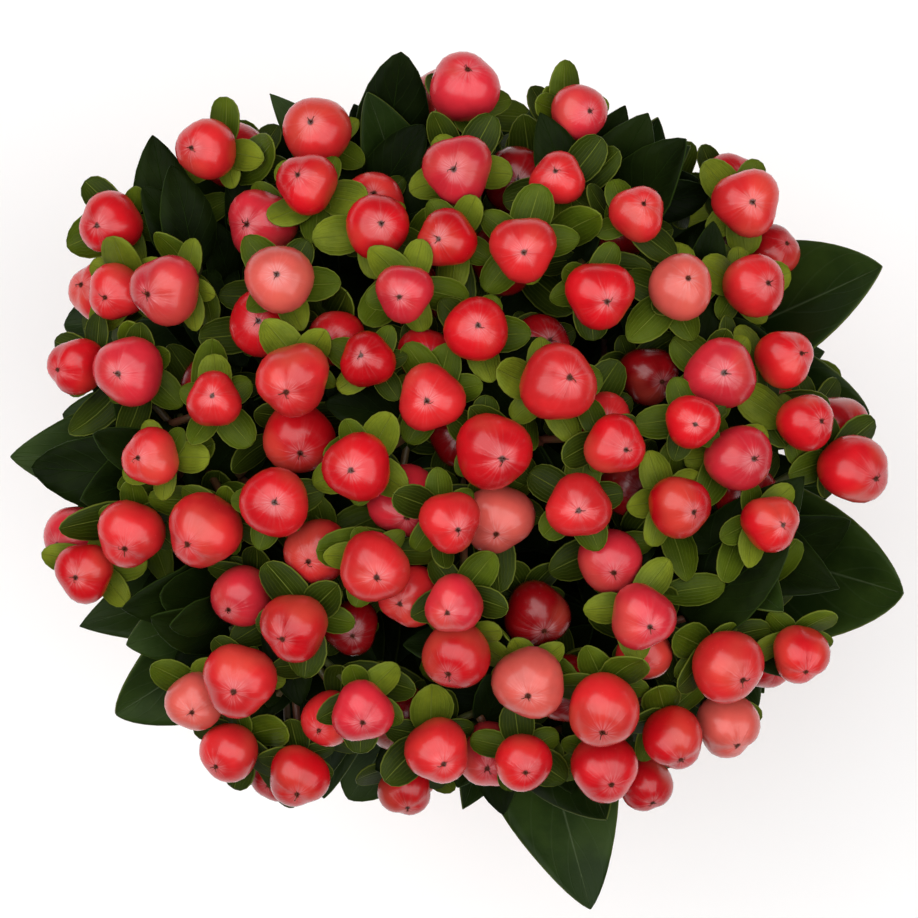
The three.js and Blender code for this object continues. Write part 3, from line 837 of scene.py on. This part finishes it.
def leaf_finish(name, tones, marks, veins, shine, mottle=55.0, tip=0.0):
    """A satin blade: mottled green, paler veins, rib, edge and tip, and a pale underside."""
    material, shader, place = new_finish(name, Roughness=0.5, Specular_IOR_Level=shine)
    inputs = {"Map": place.node.outputs["UV"], **marks}
    lines = add_node("ShaderNodeGroup", inputs, node_tree=blade_marks).outputs
    patches = mask(speckle(place, mottle, 4.0), 0.36, 0.66)
    ripe = add_node("ShaderNodeMix", {0: tip, 2: patches, 3: lines["Tip"]}, data_type="FLOAT").outputs[0]
    colour = blend(ripe, tones["dark"], tones["light"])
    for mark, strength, tone in (("Veins", veins, "rib"), ("Rib", 0.75, "rib"), ("Edge", 0.6, "edge")):
        colour = blend(times(lines[mark], strength), colour, tones[tone])
    below = mask(component(place.node.outputs["Normal"], "Z"), 0.05, -0.1)
    connect(blend(below, colour, tones["underside"]), shader["Base Color"])
    relief = number("ADD", lines["Veins"], times(lines["Rib"], 2.0))
    roughen(shader, number("ADD", relief, speckle(place, 1400.0, 2.0)), 0.00004)
    return material


blade_marks = make_blade_marks()
standing = []
random = seeded_numbers(LEAF_SEED)
outer_places = [(math.radians(azimuth), *place) for azimuth, *place, _ in OUTER_LEAVES]
bm = new_mapped_shape()
add_blades(bm, grow_outer_leaves(outer_places, True), random, OUTER_GRID, kept=True)
make_blades("outer_leaves", bm, leaf_finish("leaf", LEAF_TONES, LEAF_MARKS, 0.10, 0.10))

# The rim's leaves. Large leaves in tiers all round the crown, and more of them wherever the floor would show
# from above between the stems. They stand in the shade of the large leaves' tips, and that shade is painted
# into their colour as a darker green.
LEAF_WIDTH_SHARE = 0.54
RIM_LEAVES = 126
RIM_TIERS = 6
RIM_SPREAD = 0.8
RIM_REACH = ((0.90, 1.02), (0.76, 1.0))
RIM_HEIGHT = (0.236, 0.136)
RIM_LENGTH = (0.044, 0.056)
RIM_SEED = 640
RIM_GRID = (20, 6)
GOLDEN_ANGLE = math.radians(137.5)
GAP_SPOTS = 1200
GAP_REACH = (0.60, 0.95)
GAP_HEIGHTS = (0.222, 0.205, 0.19, 0.175, 0.16, 0.145)
GAP_OVERLAP = 0.012
# Painted shade: the leaf's dark and light greens made darker, for the rim's leaves and the stems' lower
# leaves
LOW_PAINTED_SHADE_TONES = {**LEAF_TONES, "dark": (0.006, 0.014, 0.0020, 1), "light": (0.016, 0.031, 0.0040, 1)}


def rim_places(random):
    """Where the leaves round the crown's rim end, and their sizes."""
    places = []
    for k in range(RIM_LEAVES):
        azimuth = math.tau * (k + RIM_SPREAD * random()) / RIM_LEAVES
        depth = (k % RIM_TIERS + random()) / RIM_TIERS
        height = between(RIM_HEIGHT, depth)
        length = random(RIM_LENGTH)
        inner, outer = (between(reaches, depth) for reaches in zip(*RIM_REACH))
        reach = crown_reach(azimuth) * random((inner, outer))
        places.append((azimuth, reach, height, length, length * LEAF_WIDTH_SHARE))
    return places


def open_below(spot):
    """Whether a line straight down from a spot over the crown passes every berry and every blade."""
    if any(math.hypot(berry.centre.x - spot.x, berry.centre.y - spot.y) < berry.radius for berry in berries):
        return False
    return all(other.tree.ray_cast(spot, Vector((0, 0, -1)))[0] is None for other in standing)


def close_gaps(bm, random):
    """Adds a leaf near the rim over each spot, in a spiral, at which the floor would show from above."""
    near, far = GAP_REACH
    for k in range(GAP_SPOTS):
        azimuth = GOLDEN_ANGLE * k
        reach = crown_reach(azimuth) * math.sqrt(between((near**2, far**2), k / GAP_SPOTS))
        if not open_below(polar(azimuth, reach, CROWN_TOP)):
            continue
        for height in GAP_HEIGHTS:
            length = random(RIM_LENGTH)
            tip_reach = min(reach + GAP_OVERLAP, crown_reach(azimuth) * RIM_REACH[0][1])
            place = (azimuth, tip_reach, height, length, length * LEAF_WIDTH_SHARE)
            if add_blades(bm, grow_outer_leaves([place], False), random, RIM_GRID):
                break


# The finish with the darker green of painted shade
painted_shade_green = leaf_finish("low_leaf_painted_shade", LOW_PAINTED_SHADE_TONES, LEAF_MARKS, 0.10, 0.10)
bm = new_mapped_shape()
add_blades(bm, grow_outer_leaves(rim_places(seeded_numbers(RIM_SEED)), False), random, RIM_GRID)
close_gaps(bm, random)
make_blades("rim_leaves", bm, painted_shade_green)

# The stems' leaves. They stand in opposite pairs, each pair at right angles to the next, rise more steeply
# towards the stem's tip, and have a leafy side shoot in every axil. The lower ones make this piece, and the
# upper ones go to the inner leaves.
LEAF_LENGTH = (0.042, 0.056)
LEAF_SHRINK = 0.15
LEAF_FANS = ((0, 180), (58, -58))
LEAF_RISE = (0.1, 0.8)
LEAF_RISE_SPREAD = 0.6
LEAF_TURN_SPREAD = math.radians(30)
PAIR_STAGGER = 0.003
SHOOT_LENGTH = (0.012, 0.024)
SHOOT_LEAF_SHARE = 0.62
SHOOT_FAN = (-40, 40)
SHOOT_LIFT = 0.0055
SHOOT_EXTRA_RISE = 0.5
SHOOT_LEAVES_AT = (0.9, 0.76)
# The height from which the stems' leaves go to the inner leaves and their painted shade
PAINTED_SHADE_FROM = 0.178
SMALL_GRID = (9, 4)


def grow_leaves(stem, index):
    """The pairs of leaves up one stem with their side shoots, and where each shoot starts and ends."""
    random = seeded_numbers(LEAF_SEED + index)
    blades, shoots = [], []
    pair, height = index, LOWEST_PAIR
    while height < stem.hub:
        share = (height - LOWEST_PAIR) / (stem.hub - LOWEST_PAIR)
        for side, fan in enumerate(LEAF_FANS[pair % 2]):
            level = height + PAIR_STAGGER * side
            azimuth = stem.azimuth + math.radians(fan) + LEAF_TURN_SPREAD * (random() - 0.5)
            length = random(LEAF_LENGTH) * (1 - LEAF_SHRINK * share)
            rise = between(LEAF_RISE, share) + LEAF_RISE_SPREAD * (random() - 0.5)
            root = point_on_stem(stem, level)
            blades.append(place_blade(stem, root, polar(azimuth, 1, rise), length, length * LEAF_WIDTH_SHARE))
            start = point_on_stem(stem, level + SHOOT_LIFT)
            run = polar(azimuth, 1, rise + SHOOT_EXTRA_RISE).normalized() * random(SHOOT_LENGTH)
            leaflets = []
            for turn, at in zip(SHOOT_FAN, SHOOT_LEAVES_AT):
                towards = azimuth + math.radians(turn) + LEAF_TURN_SPREAD * (random() - 0.5)
                long = random(LEAF_LENGTH) * SHOOT_LEAF_SHARE
                leaflets.append((start + run * at, polar(towards, 1, rise), long, long * LEAF_WIDTH_SHARE))
            if fits(stem, [start + run]) and clear_of_berries([start + run]):
                placed = [place_blade(stem, *leaflet) for leaflet in leaflets]
                blades += placed
                if any(placed):
                    shoots.append((start, start + run))
        pair += 1
        height += PAIR_SPACING
    return [blade for blade in blades if blade], shoots


shoots, low_blades, inner_blades = [], [], []
for index, stem in enumerate(stems):
    blades, own_shoots = grow_leaves(stem, index)
    shoots += own_shoots
    for blade in blades:
        (inner_blades if blade.place.translation.z > PAINTED_SHADE_FROM else low_blades).append(blade)
bm = new_mapped_shape()
add_blades(bm, low_blades, random, SMALL_GRID)
# The stems' lower leaves take the same darker green of painted shade as the rim's leaves
make_blades("stem_leaves", bm, painted_shade_green)

# The inner leaves. The upper leaves of the stems, and pairs low on the berries' twigs that close the gaps
# between the berries from below. The crown's deep shade is painted into their colour, which is nearly black.
INNER_LEAVES_AT = (0.12, 0.34)
INNER_LENGTH = (0.024, 0.036)
INNER_RISE = (-0.1, 0.5)
# Painted shade: the tones darkened nearly to black, with the midrib, edge and underside in the leaf's own
# dark and light greens
INNER_PAINTED_SHADE_TONES = {
    "dark": (0.003, 0.006, 0.001, 1),
    "light": (0.008, 0.015, 0.002, 1),
    "rib": LEAF_TONES["dark"],
    "edge": LEAF_TONES["light"],
    "underside": LEAF_TONES["dark"],
}


def grow_inner_leaves(random):
    """Two leaves on opposite sides of each berry's twig."""
    blades = []
    for berry in berries:
        turn = math.tau * random()
        for k, at in enumerate(INNER_LEAVES_AT):
            length = random(INNER_LENGTH)
            towards = polar(turn + math.pi * k, 1, random(INNER_RISE))
            root = berry.start.lerp(berry.foot, at)
            blades.append(place_blade(berry.stem, root, towards, length, length * LEAF_WIDTH_SHARE))
    return [blade for blade in blades if blade]


bm = new_mapped_shape()
add_blades(bm, inner_blades + grow_inner_leaves(random), random, SMALL_GRID)
make_blades("inner_leaves", bm, leaf_finish("inner_leaf_painted_shade", INNER_PAINTED_SHADE_TONES, LEAF_MARKS, 0.3, 0.03))

# The side shoots. Thin soft twigs from the axils of the stems' leaves, with the same rind as the berries'
# twigs. Each carries a pair of small leaves near its end and sags a little under them.
SHOOT_RADIUS = 0.0007
SHOOT_SAG = Vector((0, 0, -0.0006))

bm = bmesh.new()
for start, end in shoots:
    add_limb(bm, [start, start.lerp(end, 0.5) + SHOOT_SAG, end], [SHOOT_RADIUS] * 3, TWIG_SIDES)
bmesh.ops.recalc_face_normals(bm, faces=bm.faces)
make_piece("side_shoots", bm, twigs.data.materials[0])

# The sepals. Five green lobes of unequal size stay behind each ripe berry, spread flat or a little cupped,
# with fine lengthwise veins and a thin yellowish edge. Two small bracts sit lower on each berry's twig.
SEPAL_SIZES = (1.0, 0.8, 0.96, 0.7, 0.88)
SEPAL_SPREAD = (0.94, 1.1)
SEPAL_WIDTHS = (0.58, 0.70)
SEPAL_ROOT = (0.48, 0.68)
SEPAL_TIP = (0.42, 0.60)
SEPAL_TURN_SPREAD = math.radians(26)
SEPAL_TILTS = (-0.16, 0.30)
SEPAL_TRIES = (0, -0.25, 0.2, -0.5)
SEPAL_CHECKS = (0.6, 0.85, 1)
SEPAL_FOLD = (0.05, 0.22)
SEPAL_ARCH = (-0.12, 0.06)
SEPAL_CUP = 0.8
SEPAL_WAVE = 0.03
SEPAL_WAVES = 8
SEPAL_THICKNESS = 0.0003
SEPAL_GRID = (9, 2)
SEPAL_SEED = 900
BRACT_LENGTH = (0.011, 0.017)
BRACT_WIDTH_SHARE = 0.5
BRACT_TILT = (0.1, 0.7)
BRACTS_AT = (0.45, 0.72)
# Each tone's dark and light green. The bright tone is painted light and the deep tone is painted shade,
# beside green that differs at random
SEPAL_TONES = {
    "bright": ((0.050, 0.078, 0.005, 1), (0.165, 0.200, 0.012, 1)),
    "mid": ((0.021, 0.038, 0.0015, 1), (0.072, 0.103, 0.004, 1)),
    "deep": ((0.010, 0.018, 0.001, 1), (0.030, 0.047, 0.002, 1)),
}
SEPAL_TRIM = {
    "rib": (0.15, 0.19, 0.026, 1),
    "edge": (0.15, 0.18, 0.022, 1),
    "underside": (0.070, 0.098, 0.020, 1),
}
SEPAL_MARKS = {"Rib": 0.05, "Veins": 0.0, "Slant": 5.0, "Fineness": 0.2, "Edge": 0.08}
# Up to which draw a berry's sepals are bright and up to which they are mid, by the berry's layer: painted
# light on the dome's sepals and painted shade on the deeper layers' sepals
SEPAL_PAINTED_LIGHT_MIX = {"dome": (0.42, 0.66), "lower": (0.14, 0.36), "side": (0.22, 0.5), "under": (0, 0)}


def sepal_tilt(berry, outward, length, tilt):
    """The first tilt, from flat, at which a sepal of this length stays clear of the other berries."""
    for change in SEPAL_TRIES:
        run = outward * math.cos(tilt + change) + berry.axis * math.sin(tilt + change)
        if clear_of_berries([berry.foot + run * length * share for share in SEPAL_CHECKS], berry):
            return tilt + change
    return tilt


def small_blade(origin, outward, up, tilt, length, width, random):
    """A small cupped blade that leaves a point outwards, tilted from flat towards an upward direction."""
    place = set_place(origin, outward * math.cos(tilt) + up * math.sin(tilt), up.cross(outward).normalized())
    ends = (random(SEPAL_ROOT), random(SEPAL_TIP))
    fold = random(SEPAL_FOLD)
    arch = random(SEPAL_ARCH) - SEPAL_CUP * max(tilt, 0)
    return SimpleNamespace(
        place=place, length=length, width=width, ends=ends, droop=0.0, fold=fold, arch=arch,
        wave=width * SEPAL_WAVE, waves=SEPAL_WAVES, phase=math.tau * random(),
    )


random = seeded_numbers(SEPAL_SEED)
calyx_blades = {tone: [] for tone in SEPAL_TONES}
for berry in berries:
    # A draw per berry for how much painted light or painted shade its sepals and bracts get
    shade = random()
    bright, mid = SEPAL_PAINTED_LIGHT_MIX[berry.layer]
    across = berry.axis.orthogonal().normalized()
    for k, size in enumerate(SEPAL_SIZES):
        turn = berry.spin + math.tau * k / len(SEPAL_SIZES) + SEPAL_TURN_SPREAD * (random() - 0.5)
        outward = Matrix.Rotation(turn, 3, berry.axis) @ across
        length = berry.calyx * size * random(SEPAL_SPREAD)
        tilt = sepal_tilt(berry, outward, length, random(SEPAL_TILTS))
        width = length * random(SEPAL_WIDTHS)
        sepal = small_blade(berry.foot, outward, berry.axis, tilt, length, width, random)
        if shrinks_to_fit(sepal, berry):
            draw = (shade + random()) / 2
            calyx_blades["bright" if draw < bright else "mid" if draw < mid else "deep"].append(sepal)
    turn = berry.spin + math.tau * random()
    for k, at in enumerate(BRACTS_AT):
        outward = Matrix.Rotation(turn + math.pi * k, 3, berry.axis) @ across
        length = random(BRACT_LENGTH)
        origin = berry.path[round(at * TWIG_STEPS)]
        tilt = random(BRACT_TILT)
        bract = small_blade(origin, outward, berry.axis, tilt, length, length * BRACT_WIDTH_SHARE, random)
        if shrinks_to_fit(bract, berry):
            # The bracts sit lower, so they get only the mid tone or the deep tone of painted shade
            calyx_blades["mid" if shade < bright else "deep"].append(bract)
for tone, (dark, light) in SEPAL_TONES.items():
    bm = new_mapped_shape()
    for blade in calyx_blades[tone]:
        add_blade(bm, blade, SEPAL_GRID)
    tones = {"dark": dark, "light": light, **SEPAL_TRIM}
    finish = leaf_finish(f"sepal_{tone}", tones, SEPAL_MARKS, 0.12, 0.08, 160.0, 0.6)
    make_blades(f"sepals_{tone}", bm, finish, SEPAL_THICKNESS)

# The berries. Each is three joined carpels: a plump, rounded-triangular fruit with faint grooves, flattened
# towards its tip. The skin is glossy, with fine pale streaks and a warm blush where it is still ripening.
BERRY_SIDES = 24
BERRY_RINGS = 14
BERRY_FORMS = ((0.018, 0.026, 0.98), (0.030, 0.048, 1.02), (0.050, 0.066, 0.95), (0.030, 0.085, 1.06))
BERRY_FULLNESS = (0.95, 1.04)
BERRY_HEIGHT = 0.98
WAIST_POWER = 0.92
POLE_POWER = 0.96
SHOULDER_SWELL = 0.06
TIP_DIMPLE = 0.05
TIP_DIMPLE_WIDTH = 0.28
GROOVE_DIP = 1.2
GROOVE_DIP_AT = 0.6
GROOVE_DIP_WIDTH = 0.4
# Each tint's share of the berries in view, and its colour. The deep one is painted shade, a darker red for
# those in the crown's shade.
BERRY_TINTS = {
    "red": (0.32, (0.57, 0.007, 0.012)),
    "crimson": (0.17, (0.47, 0.004, 0.008)),
    "coral": (0.22, (0.60, 0.018, 0.020)),
    "rose": (0.20, (0.58, 0.021, 0.034)),
    "salmon": (0.09, (0.61, 0.090, 0.070)),
    "deep": (0, (0.24, 0.002, 0.004)),
}
BLUSH = (0.58, 0.110, 0.062, 1)
BLUSH_SHARE = 0.3
TIP_SPOT = (0.06, 0.012, 0.006, 1)
TINT_SEED = 77
# Within this share of the crown's reach, the berries of the under layer get the deep tint of painted shade
PAINTED_SHADE_SHARE = 0.75


def berry_form(lobe, groove, height):
    """A unit berry on the upright axis: a globe drawn out into three lobes, with a flattened, dimpled tip."""
    bm = new_mapped_shape()
    bmesh.ops.create_uvsphere(bm, u_segments=BERRY_SIDES, v_segments=BERRY_RINGS, radius=1, calc_uvs=True)
    for vert in bm.verts:
        azimuth = math.atan2(vert.co.y, vert.co.x)
        fall = math.acos(max(-1, min(1, vert.co.z)))
        waist = math.sin(fall)
        valley = (0.5 - 0.5 * math.cos(3 * azimuth)) ** 3
        lobes = 1 + lobe * math.cos(3 * azimuth) - groove * valley
        shoulder_swell = 1 + SHOULDER_SWELL * math.cos(fall) * waist
        girth = waist**WAIST_POWER if waist > 1e-6 else 0
        spread = girth * (1 + (lobes - 1) * waist**0.6) * shoulder_swell
        dimple = TIP_DIMPLE * math.exp(-((fall / TIP_DIMPLE_WIDTH) ** 2))
        dip = GROOVE_DIP * groove * valley * math.exp(-(((fall - GROOVE_DIP_AT) / GROOVE_DIP_WIDTH) ** 2))
        rise = math.copysign(abs(math.cos(fall)) ** POLE_POWER, math.cos(fall)) * height - (dimple + dip)
        vert.co = Vector((spread * math.cos(azimuth), spread * math.sin(azimuth), rise))
    return make_mesh("berry form", bm)


def add_copy(bm, form, place, seed):
    """Adds a copy of a form, moved into place and with its own seed, to a piece that is being joined."""
    copy = form.copy()
    copy.transform(place)
    layer = copy.attributes.new("seed", "FLOAT", "POINT")
    layer.data.foreach_set("value", [seed] * len(copy.vertices))
    bm.from_mesh(copy)
    bpy.data.meshes.remove(copy)


def make_berry_marks():
    """Streaks from foot to tip, flecks, and the tip's pale ring and dark spot, from a berry's own map."""
    tree, given = new_group("berry marks", {"Map": None, "Seed": 0.0})
    lines = speckle(stretch(given["Map"], (46, 2.2, 1)), 1.0, 3.0, 0.5, given["Seed"])
    squared = {"Vector": stretch(given["Map"], (34, 17, 1)), "W": given["Seed"], "Scale": 1.0}
    cells = add_node("ShaderNodeTexVoronoi", squared, voronoi_dimensions="4D").outputs["Distance"]
    height = component(given["Map"], "Y")
    scratches = mask(lines, 0.40, 0.62, 0.25, 1.0)
    marks = {
        "Streaks": times(mask(lines, 0.46, 0.82), mask(height, 0.6, 0.88)),
        "Flecks": mask(cells, 0.16, 0.06),
        "Ring": times(mask(height, 0.86, 0.95), scratches),
        "Spot": mask(height, 0.965, 0.985),
    }
    give_out(tree, marks)
    return tree


def berry_finish(name, tint):
    """Glossy skin in one clouded tint, blushed, streaked and flecked, with a ring and a spot at its tip."""
    material, shader, place = new_finish(name, Roughness=0.27, Specular_IOR_Level=0.42)
    own = place.id_data.nodes.new("ShaderNodeAttribute")
    own.attribute_name = "seed"
    seed = times(own.outputs["Fac"], 40.0)
    inputs = {"Map": place.node.outputs["UV"], "Seed": seed}
    marks = add_node("ShaderNodeGroup", inputs, node_tree=berry_marks).outputs
    pale = (*(min(1, channel * 0.75 + 0.16) for channel in tint), 1)
    deep = (*(channel * 0.74 for channel in tint), 1)
    cloudy = mask(speckle(place, 90.0, 3.0), 0.36, 0.66)
    unripe = mask(speckle(place, 80.0, 1.5, 0.5, seed), 0.5, 0.68, 0.0, BLUSH_SHARE)
    colour = blend(unripe, blend(cloudy, (*tint, 1), deep), BLUSH)
    for mark, strength in (("Streaks", 0.16), ("Flecks", 0.14), ("Ring", 0.55)):
        colour = blend(times(marks[mark], strength), colour, pale)
    connect(blend(marks["Spot"], colour, TIP_SPOT), shader["Base Color"])
    roughen(shader, marks["Streaks"], 0.00004)
    return material


forms = [berry_form(*form) for form in BERRY_FORMS]
berry_marks = make_berry_marks()
random = seeded_numbers(TINT_SEED)
dealt = {tint: [] for tint in BERRY_TINTS}
for berry in berries:
    draw = random()
    if berry.layer == "under":
        rim = crown_reach(math.atan2(berry.centre.y, berry.centre.x))
        dealt["crimson" if berry.centre.xy.length > PAINTED_SHADE_SHARE * rim else "deep"].append(berry)
        continue
    for tint, (share, _) in BERRY_TINTS.items():
        if draw < share:
            break
        draw -= share
    dealt[tint].append(berry)
for tint, (_, colour) in BERRY_TINTS.items():
    bm = bmesh.new()
    for berry in dealt[tint]:
        form = forms[int(random() * len(forms))]
        turn = berry.axis.to_track_quat("Z", "Y").to_matrix().to_4x4() @ Matrix.Rotation(berry.spin, 4, "Z")
        wide, deep = (berry.radius * random(BERRY_FULLNESS) for _ in range(2))
        size = Matrix.Diagonal((wide, deep, berry.radius * BERRY_HEIGHT, 1))
        berry.tip = Matrix.Translation(berry.centre) @ turn @ size
        add_copy(bm, form, berry.tip, random())
    make_piece(f"berries_{tint}", bm, berry_finish(f"berry_{tint}", colour))
for form in forms:
    bpy.data.meshes.remove(form)

# The dry styles. Three thin withered threads curl from the tip of every berry, on a small dry scar. They are
# the brown remains of the flower, brittle and matt.
STYLES = 3
STYLE_SIDES = 3
STYLE_TURN_SPREAD = 0.16
STYLE_LENGTH = (0.06, 0.22)
STYLE_CURL = 0.9
STYLE_ROOT = Vector((0, 0, 0.90))
# Each bend's share of the curl and of the length, its height and the spread of its height
STYLE_BENDS = ((0, 0.35, 0.99, 0.10), (0.5, 0.75, 1.0, 0.14), (1, 1, 0.97, 0.10))
STYLE_RADIUS = 0.014
STYLE_TAPER = (1.6, 1.2, 1, 0.5)
STYLE_SEED = 41
STYLE_DARK = (0.07, 0.016, 0.008, 1)
STYLE_LIGHT = (0.14, 0.04, 0.018, 1)


def style_finish():
    """Matt dry brown threads, darker in places."""
    material, shader, place = new_finish("dry_style", Roughness=0.85, Specular_IOR_Level=0.1)
    dark = mask(speckle(place, 600.0, 2.0), 0.4, 0.6)
    connect(blend(dark, STYLE_DARK, STYLE_LIGHT), shader["Base Color"])
    return material


random = seeded_numbers(STYLE_SEED)
bm = bmesh.new()
for berry in berries:
    for k in range(STYLES):
        azimuth = math.tau * (k / STYLES + STYLE_TURN_SPREAD * (random() - 0.5))
        reach = random(STYLE_LENGTH)
        curl = STYLE_CURL * (random() - 0.3)
        points = [STYLE_ROOT]
        for turn, share, height, spread in STYLE_BENDS:
            points.append(polar(azimuth + curl * turn, reach * share, height + spread * random()))
        radii = [STYLE_RADIUS * berry.radius * size for size in STYLE_TAPER]
        add_limb(bm, [berry.tip @ point for point in points], radii, STYLE_SIDES)
bmesh.ops.recalc_face_normals(bm, faces=bm.faces)
make_piece("dry_styles", bm, style_finish())

# The studio: a plain pale floor, large soft lights from the camera's side, and the camera, which looks
# straight down on the crown as the photograph does.
FLOOR_SIZE = 6.0
FLOOR_WHITES = ((0.94, 0.94, 0.94, 1), (0.96, 0.96, 0.96, 1))
PHOTO_WIDTH = 0.1765
PHOTO_CENTRE = Vector((0, -0.0020, 0.244))
CAMERA_DISTANCE = 0.83
SENSOR = 36.0
LIGHTS = {"key": ((-0.50, 0.24, 1.70), 2.1, 42.5), "fill": ((0.90, -0.34, 1.55), 1.5, 19.0)}
SKY_STRENGTH = 0.03


def floor_finish():
    """Smooth matt white paper."""
    material, shader, place = new_finish("floor", Roughness=0.9)
    connect(blend(speckle(place, 3.0, 2.0), *FLOOR_WHITES), shader["Base Color"])
    return material


bm = bmesh.new()
bmesh.ops.create_grid(bm, x_segments=8, y_segments=8, size=FLOOR_SIZE / 2)
floor = put_in_scene("floor", make_mesh("floor", bm))
floor.data.materials.append(floor_finish())
for name, (place, size, power) in LIGHTS.items():
    light = bpy.data.lights.new(name, "AREA")
    light.size = size
    light.energy = power
    lamp = put_in_scene(name, light)
    lamp.location = place
    lamp.rotation_euler = (PHOTO_CENTRE - Vector(place)).to_track_quat("-Z", "Y").to_euler()
world = bpy.data.worlds.new("studio")
world.use_nodes = True
sky = world.node_tree.nodes["Background"].inputs
sky["Color"].default_value = (1, 1, 1, 1)
sky["Strength"].default_value = SKY_STRENGTH
bpy.context.scene.world = world
bpy.context.scene.view_settings.view_transform = "Standard"

camera_data = bpy.data.cameras.new("camera")
camera_data.sensor_width = SENSOR
camera_data.lens = SENSOR * CAMERA_DISTANCE / PHOTO_WIDTH
camera = put_in_scene("camera", camera_data)
camera.location = PHOTO_CENTRE + Vector((0, 0, CAMERA_DISTANCE))
bpy.context.scene.camera = camera
